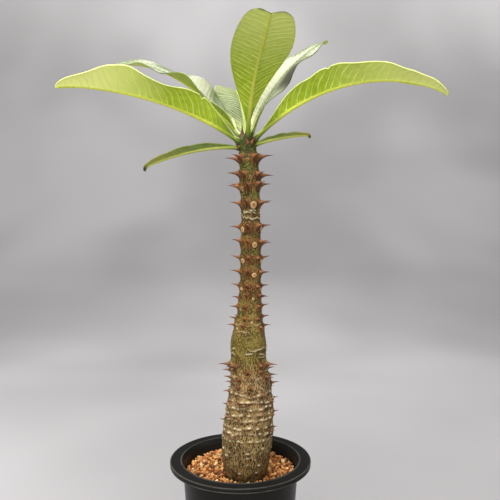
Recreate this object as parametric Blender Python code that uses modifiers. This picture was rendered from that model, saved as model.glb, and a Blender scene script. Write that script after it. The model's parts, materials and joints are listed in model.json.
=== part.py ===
"""A young pachypodium in its black nursery pot.

One thorny stem stands in a plain hole in the soil, and eight leaves spread from its tip.
Origin: the middle of the pot's underside. +Z is up, and the front of the plant faces -Y.
"""
import math
import random

import bpy
import bmesh
import numpy as np
from mathutils import Vector

MM = 0.001
TOUCH_GAP = 0.3  # mm left between pieces that touch

# Pot, in millimetres: a size 4 nursery pot of thin black plastic
POT_HEIGHT = 118.0
POT_RIM_RADIUS = 60.0
POT_MOUTH_RADIUS = 50.4
POT_NECK_RADIUS = 49.0
POT_FOOT_RADIUS = 40.0
POT_WALL = 1.3
POT_FLOOR = 2.0
POT_SEGMENTS = 48

# Its rim: a flat plate with a bead round the edge and a short skirt under it
RIM_PLATE = 1.6
RIM_BEAD = 3.0
RIM_SKIRT = 4.4
RIM_ROUND = 0.5

DRAIN_HOLES = 8
DRAIN_RADIUS = 3.5
DRAIN_CIRCLE = 27.0

# Soil: fired clay grains, filled to a little under the rim
SOIL_LEVEL = POT_HEIGHT - 10.7
SOIL_SEGMENTS = 56
SOIL_RINGS = 10
GRAIN_HEIGHT = 1.9

# Soil heaped a little at the back left: place, spread and height
HEAP_PLACE = (-19.0, 14.0)
HEAP_SPREAD = 15.0
HEAP_HEIGHT = 3.4

# Stem: (height over the soil, radius), read up the trunk through its three seasons of growth
STEM_PROFILE = [(0, 16.6), (4, 17.8), (12, 19.6), (20, 20.6), (29, 21.0), (38, 20.9), (46, 19.9),
                (54, 19.4), (63, 18.5), (71, 17.2), (80, 16.1), (88, 14.9), (101, 14.6), (113, 14.7),
                (119, 13.5), (126, 11.5), (133, 10.1), (142, 9.2), (158, 8.4), (176, 8.1), (190, 8.1),
                (204, 7.8), (224, 7.6), (240, 7.7), (252, 7.8), (264, 7.4), (272, 7.2), (277.2, 7.2)]
# Sideways place of the stem's axis from the pot's: (height over the soil, x)
STEM_AXIS = [(-46, 4.4), (0, 4.7), (14, 4.8), (29, 5.7), (42, 6.6), (54, 7.8), (66, 8.4), (80, 8.4),
             (92, 7.2), (105, 6.8), (147, 8.1), (189, 8.8), (231, 8.3), (264, 7.0), (277.2, 5.5)]
STEM_SETBACK = -9.5
STEM_SEGMENTS = 24
STEM_STEP = 7.0
STEM_LEAST_STEP = 2.6
ROOT_DEPTH = 46.0
ROOT_RADIUS = 9.5
CROWN_RADIUS = 7.2
CROWN_HEIGHT = 277.2

# Tiers of leaf scars, three scars round the stem in each, with a pair of spines over every scar:
# (height, spine length, azimuth of the tier's first scar)
SPINE_TIERS = [(37.5, 4.5, -128), (42.5, 5.0, -80), (50, 5.5, -130), (57, 5.5, -78), (62.5, 6.0, -135),
               (68.5, 6.5, -74), (74.5, 8.0, -104), (81, 8.5, -140), (86, 9.0, -76), (92.5, 11.0, -150),
               (123.5, 7.5, -140), (130.5, 8.0, -76), (139.5, 8.0, -138), (148, 8.0, -76),
               (157.5, 8.5, -138), (168, 9.0, -74), (180, 9.5, -137), (193, 10.0, -74), (206, 11.0, -138),
               (225, 11.5, -77), (239.5, 12.0, -134), (249, 12.5, -83), (262, 13.5, -98)]
SCARS_PER_TIER = 3
PAIR_REACH = 4.9  # mm round the stem from a scar to each of its spines
SPINE_LIFT = 3.2
SPINE_SINK = 2.2
SPINE_FOOT = 1.0  # half the width of a spine's foot, with this much more for each mm of spine
SPINE_FOOT_SHARE = 0.12
CROWN_SPINE_FOOT = 1.3
SPINE_TALL = 1.6  # the foot is this much taller than wide
SPINE_HOOK = 0.9

# The stem swells round a scar: share of the spine's length, reach in degrees and in mm, and the most
SWELL_SHARE = 0.12
SWELL_ROUND = 38.0
SWELL_UP = 3.4
SWELL_MOST = 1.6
# Spines round the growing tip: (azimuth, slope) in degrees and length
CROWN_SPINES = [(178, 54, 12.0), (240, 42, 8.0), (322, 48, 9.0), (350, 76, 6.0), (230, 0, 9.5),
                (318, 2, 9.5)]

# Leaves: angles in degrees, lengths in millimetres.
# seat: slope of the spot on the crown that the stalk grows from, and drop: how far that lies below
# rise: slope of the midrib at base, middle and tip; turn: swing of its azimuth to the tip
# twist: roll of the blade at base, middle and tip; fold: how far each half stands up, at the same places
# shape: sharpness at base and tip, and where the widest place lies; wave: height, number and start
# curl: how far a half bends back down to its margin; notch: depth of the cleft tip; hook: droop of the tip
LEAVES = {
    "leaf_front": dict(
        azimuth=279, seat=52, drop=0, length=134, half_width=21.2, stalk=0.05,
        rise=(72, 17, 15), turn=-3, twist=(20, 2, -6), fold_left=(35, 15, 10), fold_right=(35, 15, 10),
        curl=15, shape=(0.64, 0.21, 1.6), wave_left=(0, 2, 0), wave_right=(0, 2, 0), notch=3.6, hook=0),
    "leaf_back_right": dict(
        azimuth=46, seat=55, drop=0, length=134, half_width=18.8, stalk=0.05,
        rise=(68, 47, 31), turn=-14, twist=(-8, 0, 3), fold_left=(45, 32, 16), fold_right=(35, 9, 11),
        curl=15, shape=(1.55, 0.40, 0.72), wave_left=(1.5, 2, 0.1), wave_right=(-3, 2.34, 0.41), notch=0,
        hook=25),
    "leaf_right": dict(
        azimuth=-16, seat=25, drop=0, length=164, half_width=19.8, stalk=0.03,
        rise=(43, 12, -28), turn=4, twist=(0, 0, 0), fold_left=(50, 30, 20), fold_right=(60, 50, 18),
        curl=15, shape=(1.35, 0.40, 1.0), wave_left=(2.5, 3.0, 0.3), wave_right=(0.8, 4.5, 0.1), notch=0,
        hook=8),
    "leaf_left": dict(
        azimuth=200, seat=12, drop=0, length=150, half_width=22.5, stalk=0.03,
        rise=(31, 14, -1), turn=-14, twist=(0, 0, 0), fold_left=(54, 46, 58), fold_right=(45, 28, 20),
        curl=15, shape=(0.78, 0.62, 1.14), wave_left=(3.8, 2.35, 0.62), wave_right=(2.5, 2.6, 0.2), notch=0,
        hook=10),
    "leaf_back_left": dict(
        azimuth=148, seat=42, drop=0, length=168, half_width=15.6, stalk=0.05,
        rise=(48.5, 32, -4), turn=9, twist=(0, -29, -50), fold_left=(50, 47, 16), fold_right=(45, 6, -6),
        curl=15, shape=(1.05, 0.60, 0.74), wave_left=(4.1, 3.1, -0.07), wave_right=(4.0, 2.4, 0.24), notch=0,
        hook=0),
    "leaf_back": dict(
        azimuth=97, seat=50, drop=0, length=134, half_width=24, stalk=0.05,
        rise=(48, 30.5, 10), turn=-1, twist=(0, 0, 0), fold_left=(25, 25, 35), fold_right=(40, 30, 40),
        curl=45, shape=(0.6, 0.42, 1.1), wave_left=(5, 2.2, 0.71), wave_right=(1.2, 3, 0.8), notch=0,
        hook=0),
    "leaf_low_left": dict(
        azimuth=184, seat=0, drop=3.4, length=82, half_width=7.0, stalk=0.0,
        rise=(1.5, -13, -22), turn=-12, twist=(0, 0, 0), fold_left=(50, 55, 50), fold_right=(50, 50, 50),
        curl=20, shape=(0.9, 0.6, 1.0), wave_left=(0.6, 4, 0), wave_right=(0.6, 4, 0.4), notch=0, hook=45),
    "leaf_low_right": dict(
        azimuth=-8, seat=0, drop=0.6, length=46, half_width=4.8, stalk=0.0,
        rise=(14, 9, -1), turn=13, twist=(0, 0, 0), fold_left=(50, 50, 50), fold_right=(50, 50, 50),
        curl=20, shape=(0.7, 0.6, 1.0), wave_left=(0.4, 4, 0), wave_right=(0.4, 4, 0.4), notch=0, hook=55),
}
LEAF_ROWS = 19
SMALL_LEAF_ROWS = 12
SMALL_LEAF = 90.0  # a leaf shorter than this is a small one
BLADE_HALF = 0.4  # half the blade's thickness
RIB_FOOT = 1.5  # half the width of the rib under the blade, and its height and round
RIB_HEIGHT = 2.0
RIB_RADIUS = 1.9
STALK_RADIUS = 1.8
HOOK_START = 0.9
NOTCH_HALF = 8.0  # half the width of the cleft in a leaf's tip


def clear_scene():
    for obj in list(bpy.data.objects):
        bpy.data.objects.remove(obj, do_unlink=True)


def make_collection(name):
    group = bpy.data.collections.new(name)
    bpy.context.scene.collection.children.link(group)
    return group


def make_material(name, colour, roughness, metallic=0.0):
    material = bpy.data.materials.new(name)
    material.use_nodes = True
    shader = material.node_tree.nodes["Principled BSDF"]
    shader.inputs["Base Color"].default_value = (*colour, 1.0)
    shader.inputs["Roughness"].default_value = roughness
    shader.inputs["Metallic"].default_value = metallic
    return material


def add_object(name, mesh, group, material=None):
    obj = bpy.data.objects.new(name, mesh)
    group.objects.link(obj)
    if material:
        mesh.materials.append(material)
    return obj


def smooth_shading(obj, sharp_degrees=40.0):
    obj.data.shade_smooth()
    obj.data.set_sharp_from_angle(angle=math.radians(sharp_degrees))


def through(points, place):
    """Value at place of a smooth curve through (place, value) points."""
    places = [p for p, _ in points]
    values = [v for _, v in points]
    slopes = np.gradient(values, places)
    place = min(max(place, places[0]), places[-1])
    k = min(max(int(np.searchsorted(places, place)) - 1, 0), len(places) - 2)
    span = places[k + 1] - places[k]
    t = (place - places[k]) / span
    hold = (1 + 2 * t) * (1 - t) ** 2 * values[k] + t * t * (3 - 2 * t) * values[k + 1]
    lean = t * (1 - t) ** 2 * slopes[k] - t * t * (1 - t) * slopes[k + 1]
    return float(hold + span * lean)


def base_middle_tip(values, place):
    """Value at place 0..1 of the parabola through its base, middle and tip values."""
    base, middle, tip = values
    ends = base * (1 - place) * (1 - 2 * place) + tip * place * (2 * place - 1)
    return ends + middle * 4 * place * (1 - place)


def skin(name, rings, first_pole=None, last_pole=None):
    """Closed mesh over rings of points, each end closed to a pole or by one flat face. Lengths in mm."""
    around = len(rings[0])
    points = [point for ring in rings for point in ring]
    faces = []
    for row in range(len(rings) - 1):
        for k in range(around):
            low, high = row * around, (row + 1) * around
            after = (k + 1) % around
            faces.append((low + k, low + after, high + after, high + k))
    last = (len(rings) - 1) * around
    for pole, start, flip in ((first_pole, 0, True), (last_pole, last, False)):
        ring = [start + k for k in range(around)]
        if pole is None:
            faces.append(tuple(reversed(ring)) if flip else tuple(ring))
            continue
        points.append(pole)
        for k in range(around):
            pair = (ring[k], ring[(k + 1) % around])
            faces.append((pair[1], pair[0], len(points) - 1) if flip else (*pair, len(points) - 1))
    mesh = bpy.data.meshes.new(name)
    mesh.from_pydata([Vector(p) * MM for p in points], [], faces)
    return mesh


def apply_modifiers(obj):
    """Replaces the object's mesh by its mesh with the modifiers on."""
    evaluated = obj.evaluated_get(bpy.context.evaluated_depsgraph_get())
    mesh = bpy.data.meshes.new_from_object(evaluated)
    obj.modifiers.clear()
    obj.data = mesh


def build_pot(group, cutters):
    top, rim, mouth = POT_HEIGHT, POT_RIM_RADIUS, POT_MOUTH_RADIUS
    inner_foot = POT_FOOT_RADIUS - POT_WALL
    inside = [(0, POT_FLOOR), (inner_foot, POT_FLOOR), (inner_wall(60.0), 60.0), (inner_wall(104.0), 104.0),
              (mouth - 2.0, top - RIM_PLATE - 2.4), (mouth - 1.4, top - RIM_PLATE),
              (mouth - 0.8, top - RIM_ROUND), (mouth, top)]
    bead = [(rim - 2.2, top), (rim - 0.8, top - RIM_ROUND), (rim, top - RIM_PLATE), (rim, top - RIM_BEAD),
            (rim - 0.7, top - RIM_BEAD - 0.3), (rim - 0.9, top - RIM_SKIRT), (rim - 2.2, top - RIM_SKIRT),
            (rim - 2.4, top - RIM_PLATE)]
    outside = [(POT_NECK_RADIUS + 2.0, top - RIM_PLATE), (POT_NECK_RADIUS, top - RIM_SKIRT),
               (POT_FOOT_RADIUS + 0.6, 3.0), (POT_FOOT_RADIUS - 0.8, 0), (0, 0)]
    outline = inside + bead + outside
    edges = [(k, k + 1) for k in range(len(outline) - 1)]
    mesh = bpy.data.meshes.new("pot")
    mesh.from_pydata([(r * MM, 0, z * MM) for r, z in outline], edges, [])
    black = make_material("black_polypropylene", (0.012, 0.013, 0.014), 0.38)
    pot = add_object("pot", mesh, group, black)
    screw = pot.modifiers.new("turned", "SCREW")
    screw.steps = POT_SEGMENTS
    screw.render_steps = POT_SEGMENTS
    screw.use_merge_vertices = True
    screw.merge_threshold = 0.00001
    drill = bpy.data.meshes.new("drain_drill")
    shape = bmesh.new()
    bmesh.ops.create_cone(shape, cap_ends=True, segments=8, radius1=DRAIN_RADIUS * MM,
                          radius2=DRAIN_RADIUS * MM, depth=4 * POT_FLOOR * MM)
    shape.to_mesh(drill)
    shape.free()
    for k in range(DRAIN_HOLES):
        angle = math.tau * (k + 0.5) / DRAIN_HOLES
        cutter = add_object("drain_drill", drill, cutters)
        cutter.location = Vector((math.cos(angle), math.sin(angle), 0)) * DRAIN_CIRCLE * MM
        cutter.hide_render = True
        cutter.display_type = "WIRE"
    drain = pot.modifiers.new("drain_holes", "BOOLEAN")
    drain.operand_type = "COLLECTION"
    drain.collection = cutters
    drain.solver = "EXACT"
    return pot


def inner_wall(height):
    """Radius of the pot's inner wall at a height over its floor level."""
    share = (height - POT_FLOOR) / (POT_HEIGHT - RIM_SKIRT - POT_FLOOR)
    return (POT_FOOT_RADIUS + share * (POT_NECK_RADIUS - POT_FOOT_RADIUS)) - POT_WALL


def stem_axis(height):
    return through(STEM_AXIS, height)


def stem_radius(height):
    """Radius of the stem: the buried root narrows straight down to its blunt end."""
    if height < 0:
        return STEM_PROFILE[0][1] + (STEM_PROFILE[0][1] - ROOT_RADIUS) * height / ROOT_DEPTH
    return through(STEM_PROFILE, height)


def scars():
    """Azimuth, height and spine length of every leaf scar, tier by tier up the stem."""
    dice = random.Random(7)
    found = []
    for height, length, first in SPINE_TIERS:
        for k in range(SCARS_PER_TIER):
            azimuth = first + 360.0 * k / SCARS_PER_TIER + dice.uniform(-5, 5)
            found.append((azimuth, height + dice.uniform(-1.1, 1.1), length * dice.uniform(0.88, 1.06)))
    return found


def swelling(azimuth, height, marks):
    """How far the stem bulges out round the leaf scars and spine bases."""
    swell = 0.0
    for mark_azimuth, mark_height, length in marks:
        apart = (azimuth - mark_azimuth + 180.0) % 360.0 - 180.0
        rise = height - mark_height - 1.0
        if abs(rise) < 3 * SWELL_UP and abs(apart) < 90.0:
            swell += SWELL_SHARE * length * math.exp(-(apart / SWELL_ROUND) ** 2 - (rise / SWELL_UP) ** 2)
    return min(swell, SWELL_MOST)


def ring_heights():
    """Heights of the stem's rings: three at each tier of scars, and more where they lie far apart."""
    wanted = [0.0]
    for height, _, _ in SPINE_TIERS:
        wanted += [height - 3.0, height + 1.0, height + 4.5]
    spread = [0.0]
    for height in sorted(wanted) + [CROWN_HEIGHT]:
        if height - spread[-1] < STEM_LEAST_STEP:
            continue
        parts = math.ceil((height - spread[-1]) / STEM_STEP)
        start = spread[-1]
        spread += [start + (height - start) * k / parts for k in range(1, parts + 1)]
    return spread


def stem_ring(height, marks):
    centre = stem_axis(height)
    ring = []
    for k in range(STEM_SEGMENTS):
        azimuth = 360.0 * k / STEM_SEGMENTS
        radius = stem_radius(height) + (swelling(azimuth, height, marks) if height > 8 else 0.0)
        angle = math.radians(azimuth)
        ring.append((centre + radius * math.cos(angle), STEM_SETBACK + radius * math.sin(angle),
                     SOIL_LEVEL + height))
    return ring


def direction(azimuth, slope):
    """Unit vector at an azimuth from +X and a slope up from level, in degrees."""
    bearing, lift = math.radians(azimuth), math.radians(slope)
    return Vector((math.cos(lift) * math.cos(bearing), math.cos(lift) * math.sin(bearing), math.sin(lift)))


def crown_point(azimuth, slope, radius):
    """Point at a radius from the middle of the stem's round tip."""
    middle = Vector((stem_axis(CROWN_HEIGHT), STEM_SETBACK, SOIL_LEVEL + CROWN_HEIGHT))
    return middle + direction(azimuth, slope) * radius


def spine_mesh(root, direction, length, breadth):
    """A thorn: a wide foot that narrows fast to a thin, slightly lifted point."""
    out = Vector(direction).normalized()
    side = out.cross(Vector((0, 0, 1))).normalized()
    over = side.cross(out).normalized()
    rings = []
    for share, width in ((0.0, 1.0), (0.30, 0.52), (0.58, 0.22)):
        centre = Vector(root) + out * length * share + over * SPINE_HOOK * share * share
        ring = []
        for k in range(4):
            angle = math.tau * (k + 0.5) / 4
            off = side * math.cos(angle) - over * SPINE_TALL * math.sin(angle)
            ring.append(centre + off * breadth * width)
        rings.append(ring)
    return skin("spine", rings, last_pole=Vector(root) + out * length + over * SPINE_HOOK)


def build_stem(group):
    marks = scars()
    rings = [stem_ring(-ROOT_DEPTH, marks), stem_ring(-ROOT_DEPTH / 2, marks)]
    rings += [stem_ring(height, marks) for height in ring_heights()]
    turns = [360.0 * k / STEM_SEGMENTS for k in range(STEM_SEGMENTS)]
    for slope in (22.5, 45.0, 67.5):
        rings.append([crown_point(turn, slope, CROWN_RADIUS) for turn in turns])
    bark = make_material("bark_and_green_skin", (0.20, 0.17, 0.09), 0.62)
    stem = add_object("stem", skin("stem", rings, last_pole=crown_point(0, 90, CROWN_RADIUS)), group, bark)
    thorns = make_collection("thorns")
    for azimuth, height, length in marks:
        level = height + SPINE_LIFT
        foot = stem_radius(level) - SPINE_SINK
        for side in (-1, 1):
            bearing = math.radians(azimuth) + side * PAIR_REACH / stem_radius(level)
            root = (stem_axis(level) + foot * math.cos(bearing), STEM_SETBACK + foot * math.sin(bearing),
                    SOIL_LEVEL + level)
            way = (math.cos(bearing), math.sin(bearing), 0.10)
            mesh = spine_mesh(root, way, length + SPINE_SINK, SPINE_FOOT + SPINE_FOOT_SHARE * length)
            add_object("thorn", mesh, thorns)
    for azimuth, slope, length in CROWN_SPINES:
        root = crown_point(azimuth, slope, CROWN_RADIUS - SPINE_SINK)
        way = crown_point(azimuth, slope, CROWN_RADIUS) - root
        add_object("thorn", spine_mesh(root, way, length + SPINE_SINK, CROWN_SPINE_FOOT), thorns)
    join = stem.modifiers.new("thorns", "BOOLEAN")
    join.operation = "UNION"
    join.operand_type = "COLLECTION"
    join.collection = thorns
    join.solver = "EXACT"
    apply_modifiers(stem)
    for obj in list(thorns.objects):
        bpy.data.objects.remove(obj, do_unlink=True)
    bpy.data.collections.remove(thorns)
    smooth_shading(stem, 50.0)
    return stem


def build_soil(group):
    """Filling of the pot: up the hole round the root, over the grains and down the pot's wall."""
    dice = random.Random(11)
    floor = POT_FLOOR + TOUCH_GAP
    root_end = SOIL_LEVEL - ROOT_DEPTH - TOUCH_GAP
    slack = TOUCH_GAP + 0.1  # facets of the pot's wall and of the root reach a little into the gap

    def circle(centre, radius, level, relief=0.0, turn=0):
        ring = []
        for k in range(SOIL_SEGMENTS):
            angle = math.tau * k / SOIL_SEGMENTS
            spot = (centre[0] + radius * math.cos(angle), centre[1] + radius * math.sin(angle))
            lift = 0.0
            if relief:
                lift = relief * (dice.uniform(0.3, 1.0) if (k + turn) % 2 else dice.uniform(-0.5, 0.1))
                lift += HEAP_HEIGHT * math.exp(-(math.dist(spot, HEAP_PLACE) / HEAP_SPREAD) ** 2)
            ring.append((*spot, level + lift))
        return ring

    root_centre = (stem_axis(-ROOT_DEPTH), STEM_SETBACK)
    half_centre = (stem_axis(-ROOT_DEPTH / 2), STEM_SETBACK)
    neck_centre = (stem_axis(0), STEM_SETBACK)
    rings = [circle(root_centre, ROOT_RADIUS + slack, root_end),
             circle(half_centre, stem_radius(-ROOT_DEPTH / 2) + slack, SOIL_LEVEL - ROOT_DEPTH / 2),
             circle(neck_centre, stem_radius(0) + slack, SOIL_LEVEL)]
    edge = inner_wall(SOIL_LEVEL) - slack
    for k in range(1, SOIL_RINGS + 1):
        share = k / (SOIL_RINGS + 1)
        centre = (neck_centre[0] * (1 - share), neck_centre[1] * (1 - share))
        radius = (stem_radius(0) + slack) * (1 - share) + edge * share
        rings.append(circle(centre, radius, SOIL_LEVEL, GRAIN_HEIGHT, k))
    rings.append(circle((0, 0), edge, SOIL_LEVEL - 0.6))
    rings.append(circle((0, 0), inner_wall(floor) - slack, floor))
    mesh = skin("soil", rings, first_pole=(*root_centre, root_end), last_pole=(0, 0, floor))
    return add_object("soil", mesh, group, make_material("fired_clay_grains", (0.50, 0.23, 0.09), 0.9))


def blade_half_width(leaf, along):
    """Half the width of stalk and blade at a place 0..1 along the midrib."""
    base_power, tip_power, widest = leaf["shape"]
    place = min(max((along - leaf["stalk"]) / (1 - leaf["stalk"]), 0.0), 1.0)
    bow = max(math.sin(math.pi * place ** widest), 0.0)
    blade = leaf["half_width"] * bow ** (base_power + (tip_power - base_power) * place)
    fade = max(1 - (along / (leaf["stalk"] + 0.25)) ** 2, 0.0)
    return math.hypot(blade, stalk_radius(leaf) * fade)


def stalk_radius(leaf):
    return STALK_RADIUS * (0.75 if leaf["length"] < SMALL_LEAF else 1.0)


def midrib(leaf, stations):
    """Frames along the midrib: place, middle point, forward, left and up."""
    crown = Vector((stem_axis(CROWN_HEIGHT), STEM_SETBACK, SOIL_LEVEL + CROWN_HEIGHT - leaf["drop"]))
    outward = direction(leaf["azimuth"], leaf["seat"])
    point = crown + outward * (CROWN_RADIUS + TOUCH_GAP)
    fine = 8
    frames = []
    before = None
    for k in range((len(stations) - 1) * fine + 1):
        whole, part = divmod(k, fine)
        along = stations[whole]
        if part:
            along += (stations[whole + 1] - along) * part / fine
        droop = min(max((along - HOOK_START) / (1 - HOOK_START), 0.0), 1.0)
        slope = base_middle_tip(leaf["rise"], along) - leaf["hook"] * droop * droop * (3 - 2 * droop)
        heading = math.radians(leaf["azimuth"] + leaf["turn"] * along)
        forward = direction(leaf["azimuth"] + leaf["turn"] * along, slope)
        if before:
            point = point + (forward + before[1]) * 0.5 * leaf["length"] * (along - before[0])
        before = (along, forward)
        if part == 0:
            left = Vector((-math.sin(heading), math.cos(heading), 0))
            up = forward.cross(left)
            roll = math.radians(base_middle_tip(leaf["twist"], along))
            frames.append((along, point, forward, left * math.cos(roll) + up * math.sin(roll),
                           up * math.cos(roll) - left * math.sin(roll)))
    return frames, outward


def blade_point(leaf, frame, across):
    """Point of the blade's middle surface: across runs from -1 on the right margin to 1 on the left."""
    along, middle, forward, left, up = frame
    half = blade_half_width(leaf, along)
    side = "left" if across > 0 else "right"
    fold = math.radians(base_middle_tip(leaf["fold_" + side], along))
    curl = math.radians(leaf["curl"])
    reach = abs(across)
    if reach < 1e-6:
        return middle
    level = (math.sin(fold) - math.sin(fold - curl * reach)) / curl
    lift = (math.cos(fold - curl * reach) - math.cos(fold)) / curl
    height, count, start = leaf["wave_" + side]
    height *= min(half / leaf["half_width"], 1.0)
    wave = height * reach ** 2 * math.sin(math.tau * (count * along + start))
    off = min(reach * half / NOTCH_HALF, 1.0)
    lobe = leaf["notch"] * off * off * (3 - 2 * off) * along ** 10
    return middle + left * math.copysign(level * half, across) + up * (lift * half + wave) + forward * lobe


def leaf_columns(leaf, along):
    """Places across the blade: the midrib, its two feet and three more out to each margin."""
    half = blade_half_width(leaf, along)
    foot = min(RIB_FOOT / half, 0.4)
    outer = [foot + (1 - foot) * share for share in (0.0, 0.34, 0.68, 1.0)]
    return [-place for place in reversed(outer)] + [0.0] + outer


def build_leaf(name, leaf, group, material):
    rows = SMALL_LEAF_ROWS if leaf["length"] < SMALL_LEAF else LEAF_ROWS
    stations = []
    for k in range(rows + 1):
        share = k / rows
        stations.append(0.15 * share + 0.85 * (1 - math.cos(math.pi * share)) / 2)
    frames, outward = midrib(leaf, stations)
    upper, lower = [], []
    for frame in frames[:-1]:
        columns = leaf_columns(leaf, frame[0])
        row = [blade_point(leaf, frame, place) for place in columns]
        half = blade_half_width(leaf, frame[0])
        rib = RIB_HEIGHT * (1 - 0.75 * frame[0]) * stalk_radius(leaf) / STALK_RADIUS
        top_row, low_row = [], []
        for k, point in enumerate(row):
            across = (row[min(k + 1, len(row) - 1)] - row[max(k - 1, 0)]).normalized()
            normal = frame[2].cross(across).normalized()
            off = abs(columns[k]) * half
            ridge = rib * max(1 - (off / RIB_RADIUS) ** 2, 0.0)
            top_row.append(point + normal * BLADE_HALF)
            low_row.append(point - normal * (BLADE_HALF + ridge))
        upper.append(top_row)
        lower.append(low_row)
    seat = frames[0][1]
    for row in (upper[0], lower[0]):
        for k, point in enumerate(row):
            row[k] = point - outward * (point - seat).dot(outward)
    tip = frames[-1]
    tip_points = [tip[1] + tip[4] * BLADE_HALF, tip[1] - tip[4] * BLADE_HALF]
    blade = add_object(name, leaf_mesh(name, upper, lower, tip_points), group, material)
    face_outward(blade)
    smooth_shading(blade, 50.0)


def leaf_mesh(name, upper, lower, tip_points):
    """Closed blade: both faces split alike into triangles, with strips round the edge."""
    wide = len(upper[0])
    rows = len(upper)
    points = [p for row in upper for p in row] + [p for row in lower for p in row] + tip_points
    under = rows * wide
    top_tip, low_tip = len(points) - 2, len(points) - 1
    faces = []
    for r in range(rows - 1):
        for c in range(wide - 1):
            a, b = r * wide + c, r * wide + c + 1
            d, e = a + wide, b + wide
            for one, two, three in ((a, d, e), (a, e, b)):
                faces.append((one, two, three))
                faces.append((under + three, under + two, under + one))
        for c, outward in ((0, True), (wide - 1, False)):
            a, d = r * wide + c, (r + 1) * wide + c
            strip = (a, under + a, under + d, d)
            faces.append(strip if outward else tuple(reversed(strip)))
    for c in range(wide - 1):
        faces.append((c, c + 1, under + c + 1, under + c))
        last = (rows - 1) * wide + c
        faces.append((last, top_tip, last + 1))
        faces.append((under + last, under + last + 1, low_tip))
    start, end = (rows - 1) * wide, rows * wide - 1
    faces.append((start, under + start, low_tip, top_tip))
    faces.append((end, top_tip, low_tip, under + end))
    mesh = bpy.data.meshes.new(name)
    mesh.from_pydata([p * MM for p in points], [], faces)
    return mesh


def face_outward(obj):
    shape = bmesh.new()
    shape.from_mesh(obj.data)
    bmesh.ops.recalc_face_normals(shape, faces=shape.faces)
    shape.to_mesh(obj.data)
    shape.free()


def main():
    clear_scene()
    plant = make_collection("potted_pachypodium")
    cutters = make_collection("cutters")
    build_pot(plant, cutters)
    face_outward(build_soil(plant))
    build_stem(plant)
    for name, leaf in LEAVES.items():
        green = make_material(name + "_green", (0.30, 0.42, 0.05), 0.4)
        build_leaf(name, leaf, plant, green)


main()
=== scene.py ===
# %% [markdown]
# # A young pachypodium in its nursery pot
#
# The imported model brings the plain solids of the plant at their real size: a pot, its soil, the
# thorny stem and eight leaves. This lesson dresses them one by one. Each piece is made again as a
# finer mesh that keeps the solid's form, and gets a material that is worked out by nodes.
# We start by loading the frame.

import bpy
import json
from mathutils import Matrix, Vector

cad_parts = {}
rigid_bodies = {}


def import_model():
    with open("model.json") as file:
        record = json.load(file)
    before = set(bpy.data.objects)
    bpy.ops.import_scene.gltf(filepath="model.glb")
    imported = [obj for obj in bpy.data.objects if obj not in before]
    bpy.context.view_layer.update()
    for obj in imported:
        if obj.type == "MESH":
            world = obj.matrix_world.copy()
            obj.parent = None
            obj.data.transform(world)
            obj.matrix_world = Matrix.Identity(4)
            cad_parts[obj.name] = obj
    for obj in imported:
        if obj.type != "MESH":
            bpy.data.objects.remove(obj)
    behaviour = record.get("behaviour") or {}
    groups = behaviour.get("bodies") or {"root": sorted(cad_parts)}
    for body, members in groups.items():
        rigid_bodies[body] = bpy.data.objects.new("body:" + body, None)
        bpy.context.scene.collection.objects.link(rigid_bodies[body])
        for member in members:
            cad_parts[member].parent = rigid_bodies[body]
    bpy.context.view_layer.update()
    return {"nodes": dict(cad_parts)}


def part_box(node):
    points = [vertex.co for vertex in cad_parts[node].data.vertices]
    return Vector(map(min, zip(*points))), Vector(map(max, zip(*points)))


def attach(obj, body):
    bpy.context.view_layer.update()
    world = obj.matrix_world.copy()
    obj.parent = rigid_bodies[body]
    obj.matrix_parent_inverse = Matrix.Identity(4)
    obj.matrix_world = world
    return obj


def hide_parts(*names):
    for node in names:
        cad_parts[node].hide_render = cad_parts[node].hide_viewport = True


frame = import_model()
print("plain solids:", sorted(frame["nodes"]))

# %% [markdown]
# ## Helpers
#
# Lengths are easiest to read in millimetres, so every shape is worked out in millimetres and
# turned to metres when its mesh is made. Numpy works on whole grids of points at once, which is
# what lets a leaf have ten thousand points and still take a moment.

# %% Modules and units
import json
import math
import random
from functools import partial

import bmesh
import bpy
import numpy as np
from mathutils import Vector

MM = 0.001


# %% Colours as on a colour card, and noise by the size of its cells
def linear(hex_colour):
    """Linear colour of an sRGB hex colour such as #9DB23E. Two more digits give its alpha."""
    parts = [int(hex_colour[k:k + 2], 16) / 255 for k in range(1, len(hex_colour), 2)]
    shown = [c / 12.92 if c <= 0.04045 else ((c + 0.055) / 1.055) ** 2.4 for c in parts[:3]]
    return (*shown, parts[3] if len(parts) > 3 else 1.0)


def cells(size):
    """Scale of a noise texture whose cells are so many millimetres across, to three digits."""
    return float(f"{1 / (size * MM):.3g}")


# %% One function adds a node with its settings and links
MIXED = {"data_type": "RGBA"}
TINTED = {"data_type": "RGBA", "blend_type": "MULTIPLY", 0: 1.0}
TIMES = {"operation": "MULTIPLY"}
LENGTH = {"operation": "LENGTH"}
SOFTLY = {"interpolation_type": "SMOOTHSTEP"}


def join(tree, node, links):
    """Links a node's inputs. A source that is a node stands for its first output in use."""
    for key, source in links.items():
        if isinstance(source, bpy.types.Node):
            source = next(output for output in source.outputs if output.enabled)
        tree.links.new(source, node.inputs[key])


def add_node(tree, kind, settings=None, links=None):
    """Adds a node. Settings name an input, an attribute, or the stops (place, colour) of a ramp."""
    node = tree.nodes.new("ShaderNode" + kind)
    settings = dict(settings or {})
    for number, (place, colour) in enumerate(settings.pop("stops", [])):
        stops = node.color_ramp.elements
        stop = stops[number] if number < len(stops) else stops.new(place)
        stop.position, stop.color = place, linear(colour)
    attributes = [key for key in settings if isinstance(key, str) and hasattr(node, key)]
    for key in attributes:
        setattr(node, key, settings.pop(key))
    for key, value in settings.items():
        node.inputs[key].default_value = linear(value) if isinstance(value, str) else value
    join(tree, node, links or {})
    return node


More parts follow.
